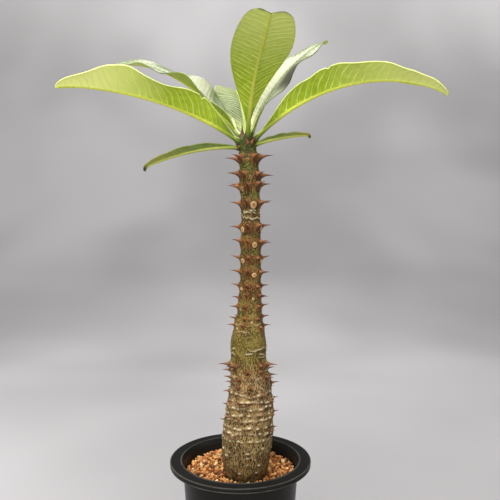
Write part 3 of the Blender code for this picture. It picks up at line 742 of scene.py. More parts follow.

# %% [markdown]
# The old bark below has rows of low warts, left from the first leaves, drawn out sideways as the
# stem swelled. Each wart is a flat bump, wider than high, with a pale upper edge that is partly its
# own cork colour and partly painted highlight, and a dark pit under it darkened with painted
# shadow. Upright cracks between them are noise that changes fast round the stem and slowly
# along it.

# %% Warts and cracks of the old bark
WART_ROWS = [71.5, 65, 60, 55, 50.5, 44.5, 40, 34.5, 29.5, 25, 20.5, 15.5, 9]
LOW_ROWS = 32.0  # rows below this height have fewer and rounder warts, and hardly any ridge
CRACKS_AROUND, CRACK_LENGTH = 105, 4.2
wart_dice = np.random.default_rng(33)
bark_edge = OLD_BARK + 3 + 3 * skin_noise(26, 6, 2)
bark_share = np.clip((bark_edge - grid_height) / 5, 0, 1)
for number, level in enumerate(WART_ROWS):
    low = level < LOW_ROWS
    row_strength = wart_dice.uniform(0.75, 1.0)
    row_line = level + 1.3 * skin_noise(8, 0, 130 + number)
    swelling = 0.5 + 0.5 * skin_noise(15, 0, 150 + number)
    relief += (0.2 if low else 0.6) * hump((grid_height - row_line) / 1.3) * swelling * row_strength
    crest = hump((grid_height - row_line - 0.5) / 0.8) * swelling * row_strength
    # The pale crest just above the row's middle is painted highlight on the top of the ridge
    mark(pale, ..., (0.0 if low else 0.15) * crest)
    step = 0.0
    while step < 360.0:
        half_wide = wart_dice.triangular(0.7, 1.1, 2.4) * (1.25 if low else 1.5)
        centre, offset = step + wart_dice.uniform(0, 14), wart_dice.uniform(-0.9, 0.9)
        rows, round_mm, rise = patch(centre, level, 9)
        rise = rise + level - row_line[rows] - offset
        strength = wart_dice.uniform(0.3, 1.15) * row_strength
        pit = hump(round_mm / half_wide, (rise + 1.5) / 0.8)
        relief[rows] += 0.8 * strength * hump(round_mm / half_wide, rise) - 0.3 * pit * strength
        # Painted highlight on each wart's upper edge, in the pale cork colour, and painted shadow in the pit
        # under it
        mark(pale, rows, hump(round_mm / (0.7 * half_wide), (rise - 0.3) / 0.6) * strength)
        mark(cracks_and_painted_shadow, rows, 0.4 * pit * strength)
        mark(brown, rows, pit * wart_dice.choice([0.2, 1.0]))
        spacing = wart_dice.uniform(10.0, 26.0) if low else wart_dice.uniform(4.0, 8.5)
        step += math.degrees(spacing / through(STEM_PROFILE, level))

cracks = skin_noise(CRACKS_AROUND, CRACK_LENGTH, 3) + 0.7 * skin_noise(64, 7.5, 4)
crack_depth = np.clip(cracks * 0.9 - 0.05, 0, 1) * bark_share
relief -= 0.38 * crack_depth
mark(cracks_and_painted_shadow, ..., crack_depth * 0.55)
print(len(WART_ROWS), "rows of warts")

# %% [markdown]
# Where growth stopped in winter the skin split and healed, in a ring of thin corky ridges. Each
# ridge wanders up and down, is rough, and breaks off here and there.

# %% Rings where growth paused
# Each ring: (height, waviness in mm, half thickness in mm, relief in mm, how much of the ring shows)
PAUSE_RINGS = [(222.0, 1.4, 0.32, 0.45, 0.55), (219.4, 1.5, 0.32, 0.45, 0.60),
               (216.0, 1.2, 0.38, 0.70, 0.95), (127.0, 1.6, 0.45, 0.45, 0.30),
               (122.5, 1.8, 0.45, 0.50, 0.40), (117.5, 1.5, 0.40, 0.40, 0.30),
               (108.0, 1.6, 0.36, 0.60, 0.62), (104.8, 1.5, 0.36, 0.60, 0.58),
               (101.5, 1.4, 0.45, 0.50, 0.45), (96.5, 1.8, 0.45, 0.45, 0.35),
               (90.5, 1.8, 0.50, 0.45, 0.30), (84.0, 1.8, 0.50, 0.40, 0.35)]
for number, (level, wander, half, high, shown) in enumerate(PAUSE_RINGS):
    line = level + wander * skin_noise(9, 0, 50 + number)
    line = line + 0.6 * wander * skin_noise(31, 0, 70 + number)
    there = np.clip((skin_noise(17, 0, 90 + number) + 2 * shown - 1) * 3, 0, 1)
    ridge = hump((grid_height - line) / half) * there
    relief += high * ridge
    rough = 0.75 + 0.25 * skin_noise(80, 0, 110 + number)
    mark(pale, ..., (1.0 if shown > 0.5 else 0.5) * ridge * rough)
    # Painted shadow: a dark line just under each ridge
    mark(cracks_and_painted_shadow, ..., 0.5 * hump((grid_height - line + 1.3) / 0.6) * there)

relief += 0.12 * skin_noise(110, 1.3, 5) * (0.5 + 0.5 * bark_share)
relief += 0.16 * skin_noise(34, 2.6, 8) + 0.18 * skin_noise(22, 9.0, 6)
print(len(PAUSE_RINGS), "ridges in the pause rings")

# %% Close the tip over the leaves' seats, and make the mesh
DOME_ROWS = 18
LEAF_SEATS = [(279, 52), (46, 55), (-16, 25), (200, 12), (148, 42), (97, 50), (184, -14), (-8, -6)]
SEAT_HEIGHT, SEAT_SPREAD = 1.9, 26.0  # mm that a leaf's cushion stands up, and its reach in degrees
relief[heights < 1] *= 0.4
radius = stem_radii + relief
bearing = np.radians(grid_azimuth)
stem_points = np.stack([through(STEM_AXIS, heights)[:, None] + radius * np.cos(bearing),
                        STEM_SETBACK + radius * np.sin(bearing),
                        SOIL_LEVEL + grid_height], -1).reshape(-1, 3)
dome = []
for k in range(1, DOME_ROWS):
    slope = 90.0 * k / DOME_ROWS
    ways = direction(azimuths, slope)
    swell = relief[-1] * math.cos(math.radians(slope)) ** 2
    for seat in LEAF_SEATS:
        close = np.degrees(np.arccos(np.clip(ways @ direction(*seat), -1, 1)))
        swell = swell + SEAT_HEIGHT * hump(close / SEAT_SPREAD) * (slope / 90.0) ** 0.5
    dome.append(crown_middle + ways * (CROWN_RADIUS + swell)[:, None])
stem_points = np.concatenate([stem_points, *dome, [dome[-1].mean(0)]])
stem_rows = len(heights) + DOME_ROWS - 1
stem_faces = tube_faces(stem_rows, STEM_AROUND)
peak, last_row = len(stem_points) - 1, (stem_rows - 1) * STEM_AROUND
for k in range(STEM_AROUND):
    stem_faces.append((last_row + k, last_row + (k + 1) % STEM_AROUND, peak))
stem_faces.append(tuple(reversed(range(STEM_AROUND))))
bark, add, finish = new_material("bark_and_green_skin", IOR=1.45, Specular_IOR_Level=0.2)
stem = new_piece("stem_skin", stem_points, stem_faces, [bark])


def over_dome(marks):
    """Values of the grid, carried on over the tip by its last row."""
    cap = np.repeat(marks[-1:], DOME_ROWS - 1, 0)
    return np.concatenate([marks.ravel(), cap.ravel(), [marks[-1].mean()]])


for name, parts in (("stem_marks", (scar_away, pale, brown)),
                    ("stem_form", (grid_height / CROWN_HEIGHT, cracks_and_painted_shadow, scar_shown))):
    paint(stem, name, np.stack([over_dome(part) for part in parts], -1))
dress(stem, "bark", "stem")

# %% [markdown]
# The skin runs up the stem from grey-brown bark through olive to green, and everywhere it is a fine
# marbling of a dark and a pale tone. So two colour ramps read the height that every point keeps,
# one for each tone, and noise a millimetre or two wide picks between them. On the old bark the
# noise is drawn out upright, as the cracks are. Corky ridges and warts are the colour of straw,
# which on the warts' upper edges is partly painted highlight. Cracks are dark, and painted shadow
# darkens the pits under warts and a line under each ridge. Thorn cushions are brown, and a scar is
# a set of rings: tan inside, cream, and a dark line of painted shadow round it.

# %% Stem material: bark below, green skin above
DARK_SKIN = [(0.0, "#302412"), (0.07, "#342716"), (0.12, "#342714"), (0.30, "#3A2B16"),
             (0.36, "#443714"), (0.40, "#483B12"), (0.46, "#40310D"), (0.60, "#342608"),
             (0.85, "#2A1F06"), (0.94, "#241F06"), (1.0, "#202606")]
PALE_SKIN = [(0.0, "#80663E"), (0.07, "#947A4C"), (0.12, "#9C8456"), (0.30, "#AC8E60"),
             (0.36, "#847238"), (0.40, "#807034"), (0.46, "#88763C"), (0.60, "#7C6230"),
             (0.85, "#765E2C"), (0.94, "#645A22"), (1.0, "#4C5620")]
# The outer dark rings are painted shadow in the groove round each scar
SCAR_RINGS = [(0.0, "#9C5E36F0"), (0.20, "#B88050F0"), (0.36, "#D6B080F4"), (0.46, "#C8AA7AD8"),
              (0.53, "#3A2A1890"), (0.62, "#3A2A1850"), (0.72, "#3A2A1800")]

# Green skin and old bark: (cell in mm, detail, roughness, distortion, scale along the stem)
MARBLING = [(0.8, 3, 0.55, 0.6, 0.7), (0.5714, 2, 0.5, 0.8, 0.28)]

scar_at, corky, cushion = painted(add, "stem_marks")
up_stem, crack_and_shadow_share, scar_clear = painted(add, "stem_form")
skin = add("NewGeometry")
dark_tone, pale_tone = [add("ValToRGB", {"stops": tones}, {0: up_stem})
                        for tones in (DARK_SKIN, PALE_SKIN)]
marbling = []
for size, detail, rough, bend, upright in MARBLING:
    stretched = add("Mapping", {"Scale": (1.0, 1.0, upright)}, {0: skin})
    marbling.append(add("TexNoise", {"Scale": cells(size), "Detail": detail, "Roughness": rough,
                                     "Distortion": bend}, {0: stretched}))
old = add("MapRange", {1: 0.34, 2: 0.39, 3: 1.0, 4: 0.0}, {0: up_stem})
marbled = add("Mix", {"data_type": "FLOAT"}, {0: old, 2: marbling[0], 3: marbling[1]})
patches = add("TexNoise", {"Scale": cells(8.333), "Detail": 3, "Roughness": 0.55}, {0: skin})
patchy = add("Math", {"operation": "MULTIPLY_ADD", 1: 0.35}, {0: patches, 2: marbled})
tone = add("MapRange", {**SOFTLY, 1: 0.635, 2: 0.735}, {0: patchy})
living = add("MapRange", {1: 0.40, 2: 0.55, 4: 0.5}, {0: up_stem})
green_noise = add("TexNoise", {"Scale": cells(13.333)}, {0: skin})
green_patch = add("MapRange", {**SOFTLY, 1: 0.46, 2: 0.60}, {0: green_noise})
green_share = add("Math", TIMES, {0: living, 1: green_patch})
scar_ring = add("ValToRGB", {"stops": SCAR_RINGS}, {0: add("Math", {**TIMES, 1: 0.5}, {0: scar_at})})
scar_share = add("Math", TIMES, {0: scar_ring.outputs["Alpha"], 1: scar_clear})
stem_colour = layered(add, dark_tone, [
    (tone, pale_tone),
    (green_share, add("Mix", {**MIXED, 6: "#2C2E08", 7: "#70742E"}, {0: tone})),
    # Dark cracks, and painted shadow in the pits under warts and under each pause ridge
    (crack_and_shadow_share, "#2E2012"),
    (cushion, add("Mix", {**MIXED, 6: "#44220E", 7: "#7E4E22"}, {0: tone})),
    (corky, "#E6D6AE"),
    (scar_share, scar_ring)])
finish({"Base Color": stem_colour,
        "Roughness": add("MapRange", {1: 0.34, 2: 0.42, 3: 0.8, 4: 0.5}, {0: up_stem}),
        "Normal": add("Bump", {"Strength": 0.7, "Distance": 0.8 * MM}, {"Height": patchy})})
print("stem material:", len(bark.node_tree.nodes), "nodes")

# %% [markdown]
# ## Thorns
#
# A thorn is a hardened stipule: a broad foot that narrows fast and then runs out into a thin,
# slightly raised point. Its outline is hollow like a trumpet's, so the radius is a power of the
# way left to the tip. All thorns are one mesh. Every point keeps how far along its thorn it lies
# and how far it looks down, and the material turns that into chestnut at the foot, red-brown in
# the middle, near black at the point, and painted shade on the lower side.

# %% Shape of a thorn
THORN_AROUND, THORN_ROWS = 12, 12
THORN_SINK = 1.6  # mm that its foot is sunk in the stem
thorn_turns = np.linspace(0, math.tau, THORN_AROUND, endpoint=False)


def thorn_rings(root, way, length, foot, curve):
    """Rings of points of one thorn, from its sunk foot to near its tip."""
    out = way / np.linalg.norm(way)
    side = np.cross(out, (0, 0, 1.0))
    side /= np.linalg.norm(side)
    over = np.cross(side, out)
    rings = []
    for share in np.linspace(0, 1, THORN_ROWS):
        left = 1 - share
        width = foot * (0.58 * left ** 4 + 0.42 * left ** 1.1) + 0.05
        tall = 1.0 + np.where(np.sin(thorn_turns) < 0, 1.1, 0.45) * left ** 2
        centre = root + out * length * share + over * curve * share ** 2
        ring = centre + np.outer(np.cos(thorn_turns), side) * width
        ring = ring + np.outer(np.sin(thorn_turns) * tall, over) * width
        rings.append(ring - over * 0.35 * foot * left ** 3)
    return rings


thorn_points, thorn_faces, thorn_looks = [], [], []


def add_thorn(root, way, length, foot, curve, first=0.0):
    """Adds a thorn, whose colours start from the place called first."""
    start = len(thorn_points) * THORN_AROUND
    end = start + (THORN_ROWS - 1) * THORN_AROUND
    thorn_points.extend(thorn_rings(root, way, length, foot, curve))
    for along in np.linspace(first, 1, THORN_ROWS):
        thorn_looks.extend((along, 0.5 - 0.5 * math.sin(angle), 0) for angle in thorn_turns)
    for face in tube_faces(THORN_ROWS, THORN_AROUND):
        thorn_faces.append(tuple(start + k for k in face))
    thorn_faces.append(tuple(range(end, end + THORN_AROUND)))
    thorn_faces.append(tuple(reversed(range(start, start + THORN_AROUND))))


# %% Set all thorns, and the spines round the crown
# Spines: (azimuth and slope of the root, azimuth and slope of the way, length, foot, first colour)
CROWN_THORNS = [(205, 56, 178, 82, 12.0, 2.3, 0.74), (300, 40, 330, 62, 8.5, 1.9, 0.74),
                (286, 0, 214, 34, 7.5, 1.8, 0.3), (302, 0, 337, 40, 8.5, 1.8, 0.3),
                (198, -22, 190, 34, 10.0, 2.2, 0.3), (60, 20, 60, 50, 9.0, 2.0, 0.74)]
thorn_dice = np.random.default_rng(12)
for azimuth, level, length in thorns:
    rooted = float(through(STEM_PROFILE, level)) - THORN_SINK + 0.06 * length
    root = stem_middle(level) + direction(azimuth, 0) * rooted
    way = direction(azimuth + thorn_dice.uniform(-7, 7), thorn_dice.uniform(-5, 6))
    add_thorn(root, way, 0.94 * length + THORN_SINK, 1.3 + 0.17 * length, thorn_dice.uniform(-0.6, 0.6))
for azimuth, slope, way_azimuth, way_slope, length, foot, first in CROWN_THORNS:
    root = crown_middle + direction(azimuth, slope) * (CROWN_RADIUS - THORN_SINK)
    add_thorn(root, direction(way_azimuth, way_slope), length + THORN_SINK, foot, 0.6, first)
thorn_coat, add, finish = new_material("dry_thorn", Roughness=0.5, IOR=1.5, Specular_IOR_Level=0.22)
thorn_piece = new_piece("thorns", np.concatenate(thorn_points), thorn_faces, [thorn_coat])
paint(thorn_piece, "thorn_looks", thorn_looks)
dress(thorn_piece, "bark")

# %% Thorn material: chestnut foot, dark point
THORN_COLOURS = [(0.0, "#563A1C"), (0.2, "#704828"), (0.42, "#8A5E3C"), (0.6, "#7E4C36"),
                 (0.8, "#4E2A1C"), (1.0, "#2A1814")]
along, below, _ = painted(add, "thorn_looks")
body = add("NewGeometry")
own_tone = add("MapRange", {3: 0.75, 4: 1.25}, {0: body.outputs["Random Per Island"]})
fibres = add("TexNoise", {"Scale": cells(0.9091), "Detail": 3}, {0: body})
mottle = add("MapRange", {1: 0.3, 2: 0.7, 3: 0.8, 4: 1.2}, {0: fibres})
shade = add("Math", TIMES, {0: own_tone, 1: mottle})
thorn_ramp = add("ValToRGB", {"stops": THORN_COLOURS}, {0: along})
thorn_colour = add("Mix", TINTED, {6: thorn_ramp, 7: shade})
# Painted shade: the lower side of each thorn is darkened
painted_shade_underneath = add("MapRange", {1: 0.45, 2: 0.95, 4: 0.85}, {0: below})
finish({"Base Color": layered(add, thorn_colour, [(painted_shade_underneath, "#3A1E0C")]),
        "Normal": add("Bump", {"Strength": 0.25, "Distance": 0.3 * MM}, {"Height": fibres})})
print("thorn material:", len(thorn_coat.node_tree.nodes), "nodes")

# %% [markdown]
# ## Leaves
#
# Each leaf is a strap blade about half a millimetre thick: dark and glossy above, yellow-green and
# paler-veined below, with a stout midrib under it. The blade folds up from the midrib, bends back
# to its margins, waves, twists and droops. All of that is a formula over two numbers: how far along
# the midrib, and how far across to a margin. The fine mesh uses the plain solid's formula and
# values, apart from a few that only a fine mesh can show, so it lies in the same place.

# %% Values of the eight leaves
# length and half_width: mm; drop: mm that the seat lies below the crown's middle; stalk: its share
# seat: slope of the spot on the crown that the stalk grows from; turn: swing of azimuth to the tip
# rise: slope of the midrib; twist: roll of the blade; fold: how far each half stands up, all three at
# base, middle and tip; curl: how far a half bends back down to its margin; hook: droop of the tip
# shape: sharpness at base and tip, and where the widest place lies; notch: mm of the tip's cleft
# wave: height in mm, number and start; veins: mm between side veins at base, middle and tip
# ripple and puff: mm that a margin ripples and that the blade stands up between veins
# edge: how strong the painted highlight along the margin is; fades: how far the outer part turns pale;
# veined: how clear veins are
# bites: nicks, as (side, place along, depth, half length)
# painted_shade_spot: painted shade, a spot made near black and dull, as (side, place along, half length)
# USUAL is what a leaf has unless its own row says otherwise, and SMALL is what the two low ones share
USUAL = dict(drop=0, stalk=0.05, twist=(0, 0, 0), curl=15, hook=0, notch=0, fades=0.8, veined=1.0,
             bites=[], painted_shade_spot=None)
SMALL = dict(stalk=0.0, curl=20, ripple=0.1, puff=0.15, edge=0.2, fold_right=(50, 50, 50),
             wave_left=(0.3, 4, 0), wave_right=(0.3, 4, 0.4))
LEAVES = {
    "leaf_front": dict(
        azimuth=279, seat=52, length=134, half_width=21.2, rise=(72, 17, 15), turn=-3,
        twist=(20, 2, -6), fold_left=(35, 15, 10), fold_right=(35, 15, 10), shape=(0.64, 0.21, 1.6),
        wave_left=(0, 2, 0), wave_right=(0, 2, 0), notch=2.2, veins=(3.5, 5.3, 4.6), ripple=0.15,
        puff=0.28, edge=0.1, fades=0.55),
    "leaf_back_right": dict(
        azimuth=46, seat=55, length=134, half_width=18.8, rise=(68, 47, 31), turn=-14,
        twist=(-8, 0, 3), fold_left=(45, 32, 16), fold_right=(35, 9, 11), shape=(1.55, 0.40, 0.72),
        wave_left=(1.5, 2, 0.1), wave_right=(-3, 2.34, 0.41), hook=25, veins=(4.4, 5.2, 5.2),
        ripple=0.1, puff=0.08, edge=0.1, painted_shade_spot=("right", 0.47, 20.0)),
    "leaf_right": dict(
        azimuth=-16, seat=25, length=164, half_width=19.8, stalk=0.03, rise=(43, 12, -28), turn=4,
        fold_left=(50, 30, 20), fold_right=(60, 50, 18), shape=(1.35, 0.40, 1.0),
        wave_left=(2.5, 3.0, 0.3), wave_right=(0.8, 4.5, 0.1), hook=8, veins=(5.4, 5.9, 5.6),
        ripple=0.3, puff=0.28, edge=0.35, fades=0.95, veined=0.8, bites=[("right", 0.46, 1.3, 1.2)]),
    "leaf_left": dict(
        azimuth=200, seat=12, length=150, half_width=22.5, stalk=0.03, rise=(31, 14, -1), turn=-14,
        fold_left=(69, 46, 58), fold_right=(45, 28, 20), shape=(0.66, 0.62, 1.14),
        wave_left=(3.8, 2.35, 0.62), wave_right=(2.5, 2.6, 0.2), hook=10, veins=(4.8, 5.6, 5.2),
        ripple=0.35, puff=0.3, edge=0.4, fades=1.35, veined=0.7, bites=[("left", 0.28, 2.6, 1.4)]),
    "leaf_back_left": dict(
        azimuth=148, seat=42, length=168, half_width=15.6, rise=(48.5, 32, -4), turn=9,
        twist=(0, -29, -50), fold_left=(50, 47, 16), fold_right=(45, 6, -6), shape=(1.05, 0.60, 0.74),
        wave_left=(4.1, 3.1, -0.07), wave_right=(4.0, 2.4, 0.24), veins=(4.6, 5.4, 5.2),
        ripple=0.25, puff=0.06, edge=0.2),
    "leaf_back": dict(
        azimuth=97, seat=50, length=134, half_width=24, rise=(48, 30.5, 10), turn=-1,
        fold_left=(25, 25, 35), fold_right=(40, 30, 40), curl=45, shape=(0.6, 0.42, 1.1),
        wave_left=(5, 2.2, 0.71), wave_right=(1.2, 3, 0.8), veins=(4.4, 5.4, 5.4),
        ripple=0.5, puff=0.6, edge=0.3),
    "leaf_low_left": dict(
        SMALL, azimuth=184, seat=0, drop=3.4, length=82, half_width=7.0, rise=(1.5, -13, -22),
        turn=-12, fold_left=(50, 55, 50), shape=(0.9, 0.4, 1.0), hook=45, veins=(3.6, 4.0, 3.8)),
    "leaf_low_right": dict(
        SMALL, azimuth=-8, seat=0, drop=0.6, length=46, half_width=4.8, rise=(14, 9, -1),
        turn=13, fold_left=(50, 50, 50), shape=(0.7, 0.35, 1.0), hook=55, veins=(3.2, 3.6, 3.4)),
}
TOUCH_GAP = 0.3  # mm that a stalk stays off the stem
STALK_RADIUS = 1.8
SMALL_LEAF = 90.0
HOOK_START = 0.9
NOTCH_HALF = 8.0  # half the width of the cleft in a leaf's tip
ROOTED = 3.0  # mm that the stalk reaches back into the stem
FINE_STEPS = 800
print(len(LEAVES), "leaves")


# %% The midrib: a path that rises, swings and droops
def midrib(leaf, along):
    """Middle points and the forward, left and up directions at places along the midrib."""
    outward = direction(leaf["azimuth"], leaf["seat"])
    base = crown_middle - (0, 0, leaf["drop"]) + outward * (CROWN_RADIUS + TOUCH_GAP)

    def heading_slope(place):
        droop = np.clip((place - HOOK_START) / (1 - HOOK_START), 0, 1)
        slope = base_middle_tip(leaf["rise"], place) - leaf["hook"] * droop * droop * (3 - 2 * droop)
        return leaf["azimuth"] + leaf["turn"] * place, slope

    places = np.linspace(0, 1, FINE_STEPS + 1)
    ahead = direction(*heading_slope(places))
    steps = (ahead[1:] + ahead[:-1]) / 2 * leaf["length"] / FINE_STEPS
    path = base + np.concatenate([np.zeros((1, 3)), np.cumsum(steps, 0)])
    inside = np.clip(along, 0, 1)
    middle = np.stack([np.interp(inside, places, path[:, k]) for k in range(3)], -1)
    middle = middle + outward * (np.minimum(along, 0) * leaf["length"])[:, None]
    heading, slope = heading_slope(inside)
    forward = direction(heading, slope)
    bearing = np.radians(heading)
    left = np.stack([-np.sin(bearing), np.cos(bearing), 0 * bearing], -1)
    up = np.cross(forward, left)
    roll = np.radians(base_middle_tip(leaf["twist"], inside))[:, None]
    return (middle, forward, left * np.cos(roll) + up * np.sin(roll),
            up * np.cos(roll) - left * np.sin(roll))


def stalk_radius(leaf, along):
    """Half the stalk's width: it widens into a clasping foot where it meets the stem."""
    size = STALK_RADIUS * (0.75 if leaf["length"] < SMALL_LEAF else 1.0)
    return size * (1 + 0.85 * np.exp(-np.maximum(along * leaf["length"] + 0.5, 0) / 3.0))


def half_width(leaf, along):
    """Half the width of stalk and blade along the midrib."""
    base_power, tip_power, widest = leaf["shape"]
    place = np.clip((along - leaf["stalk"]) / (1 - leaf["stalk"]), 0, 1)
    bow = np.maximum(np.sin(math.pi * place ** widest), 0)
    blade = leaf["half_width"] * bow ** (base_power + (tip_power - base_power) * place)
    fade = np.maximum(1 - (np.maximum(along, 0) / (leaf["stalk"] + 0.25)) ** 2, 0)
    return np.hypot(blade, stalk_radius(leaf, along) * fade)


# %% [markdown]
# A leaf's side veins leave the midrib at a steep angle and bend outwards. If every point of the
# blade knows how many veins lie between it and the base, a vein is simply where that count is a
# whole number. The count is worked out here once. The mesh uses it to puff the blade up between
# veins, and the material uses it to draw them.

# %% Side veins, counted from the base
VEIN_ANGLES = (42.0, 60.0, 74.0)  # from the midrib at base, middle and tip, in degrees
VEIN_ARCH = 0.35  # how much a vein gains towards the tip near the margin
VEIN_WANDER = 0.10  # of the space between two veins


def vein_count(leaf, along, across_mm, reach, side):
    """Number of the vein through a point, counted from the base. Between veins it is a fraction."""
    places = np.linspace(-0.4, 1.4, 600)
    gaps = base_middle_tip(leaf["veins"], np.clip(places, 0, 1))
    counts = np.concatenate([[0.0], np.cumsum(np.diff(places) * leaf["length"] / gaps[1:])])
    angle = np.radians(base_middle_tip(VEIN_ANGLES, np.clip(along, 0, 1)))
    gained = across_mm / np.tan(angle) * (0.8 + VEIN_ARCH * reach ** 2)
    count = np.interp(along - gained / leaf["length"], places, counts)
    wander = np.sin(2.3 * count) + 0.9 * np.sin(0.42 * across_mm + 1.7 * np.floor(count) + 2 * side)
    return count + np.where(side > 0, 0.45, 0.0) + VEIN_WANDER * wander


# %% The blade: fold, curl, wave, notch and bites
RIPPLES_PER_LEAF = (7.0, 11.0)
ripple_dice = np.random.default_rng(77)


def bitten(leaf, along, reach, positive):
    """How much of the half width is left beside the nicks in the margin."""
    left_over = 1.0 + 0 * (along + reach)
    for side, place, depth, half_length in leaf["bites"]:
        chosen = positive if side == "left" else ~positive
        near = np.exp(-((along - place) * leaf["length"] / half_length) ** 4)
        left_over = left_over - chosen * near * depth / leaf["half_width"]
    return left_over


def blade(leaf, along, across, ripples):
    """Points of the blade's middle surface on a grid, with its measures."""
    middle, forward, left, up = [part[:, None, :] for part in midrib(leaf, along)]
    place = np.clip(along, 0, 1)[:, None]
    reach = np.abs(across)[None, :]
    positive = (across > 0)[None, :]
    half = half_width(leaf, along)[:, None] * bitten(leaf, along[:, None], reach, positive)
    fold = np.radians(np.where(positive, base_middle_tip(leaf["fold_left"], place),
                               base_middle_tip(leaf["fold_right"], place)))
    curl = math.radians(leaf["curl"])
    level = (np.sin(fold) - np.sin(fold - curl * reach)) / curl
    lift = (np.cos(fold - curl * reach) - np.cos(fold)) / curl
    fullness = np.minimum(half / leaf["half_width"], 1)
    wave = 0 * (reach + place)
    for key, chosen in (("wave_left", positive), ("wave_right", ~positive)):
        height, count, start = leaf[key]
        wave = wave + chosen * height * fullness * reach ** 2 * np.sin(math.tau * (count * place + start))
    for chosen, (size, count, start) in zip((positive, ~positive), ripples):
        uneven = 0.6 + 0.4 * np.sin(math.tau * (2.3 * place + 2 * start))
        wave = wave + (chosen * size * uneven * fullness * reach ** 4
                       * np.sin(math.tau * (count * place + start)))
    off = np.minimum(reach * half / NOTCH_HALF, 1.0)
    lobe = leaf["notch"] * off * off * (3 - 2 * off) * place ** 10
    side = np.where(positive, 1.0, -1.0)
    points = (middle + left * (side * level * half)[..., None]
              + up * (lift * half + wave)[..., None] + forward * lobe[..., None])
    across_mm = reach * half
    count = vein_count(leaf, along[:, None], across_mm, reach, side)
    return points, across_mm, count, half - across_mm


# %% How thick the leaf is above and below its middle surface
BLADE_HALF = 0.27  # half the blade's thickness in mm
RIB_HEIGHT, RIB_HALF = 1.9, 1.6
BEAD_HEIGHT, BEAD_WIDTH = 0.20, 0.75  # the margin's rounded bead, in mm


def thickness(leaf, along, across_mm, count, from_margin):
    """Height of the upper and lower skin over the middle surface, and place across the midrib."""
    fade = np.clip(1 - along, 0, 1)[:, None]
    rib_place = across_mm / (RIB_HALF * (0.38 + 0.62 * fade))
    rib = (RIB_HEIGHT * (0.25 + 0.75 * fade)) * stalk_radius(leaf, along)[:, None] / STALK_RADIUS
    rib = rib * np.sqrt(np.clip(1 - rib_place ** 2, 0, 1))
    puff = leaf["puff"] * (0.5 - 0.5 * np.cos(math.tau * count)) ** 0.7 * np.clip(across_mm / 4, 0, 1)
    puff = puff * np.clip(from_margin / 2.0, 0, 1)
    skin = BLADE_HALF + BEAD_HEIGHT * hump((from_margin - 0.35) / BEAD_WIDTH)
    skin = skin * (0.6 + 0.4 * np.clip(from_margin / 0.35, 0, 1))
    groove = 0.35 * hump(across_mm / 0.9) * fade
    return skin + puff - groove, skin - 0.6 * puff + rib, rib_place


# %% The faces of a leaf
def skin_faces(rows, wide):
    """Faces of a leaf's upper skin, of its lower skin, and of the rim that joins them round the tip."""
    under = rows * wide
    grid = np.arange(under).reshape(rows, wide)
    a, b, c, d = grid[:-1, :-1], grid[:-1, 1:], grid[1:, 1:], grid[1:, :-1]
    top = np.stack([a, d, c, b], -1).reshape(-1, 4)
    low = under + np.stack([a, b, c, d], -1).reshape(-1, 4)
    rim = []
    for column, turned_over in ((0, False), (wide - 1, True)):
        for first, after in zip(grid[:-1, column], grid[1:, column]):
            strip = (first, first + under, after + under, after)
            rim.append(strip[::-1] if turned_over else strip)
    tip_upper, tip_lower = 2 * under, 2 * under + 1
    for last, after, first, beside in zip(grid[-1], grid[-1, 1:], grid[0], grid[0, 1:]):
        rim.append((last, tip_upper, after))
        rim.append((under + last, under + after, tip_lower))
        rim.append((first, beside, under + beside, under + first))
    rim.append((grid[-1, 0], under + grid[-1, 0], tip_lower, tip_upper))
    rim.append((grid[-1, -1], tip_upper, tip_lower, under + grid[-1, -1]))
    return top.tolist(), low.tolist(), [tuple(int(k) for k in face) for face in rim]


# %% The mesh of one leaf
LEAF_ROWS, LEAF_COLUMNS = 260, 22
SMALL_ROWS, SMALL_COLUMNS = 110, 11
# The pale margin is painted highlight; a leaf with a weak one has the dark upper skin on its rim strip
DARK_EDGE = 0.25  # a margin less pale than this shows the dark upper skin at its very edge


def crowded(share, even):
    """Shares 0..1 moved towards both ends, apart from an even part."""
    return even * share + (1 - even) * (1 - np.cos(math.pi * share)) / 2


def shade_spot_grid(leaf, along, across):
    """Grid that is 1 on a leaf's spot of painted shade, and 0 elsewhere."""
    if not leaf["painted_shade_spot"]:
        return np.zeros((len(along), len(across)))
    side, centre, half_length = leaf["painted_shade_spot"]
    outward = across if side == "left" else -across
    near = np.exp(-((along - centre) * leaf["length"] / half_length) ** 4)[:, None]
    return near * np.clip((outward[None, :] - 0.25) / 0.35, 0, 1)


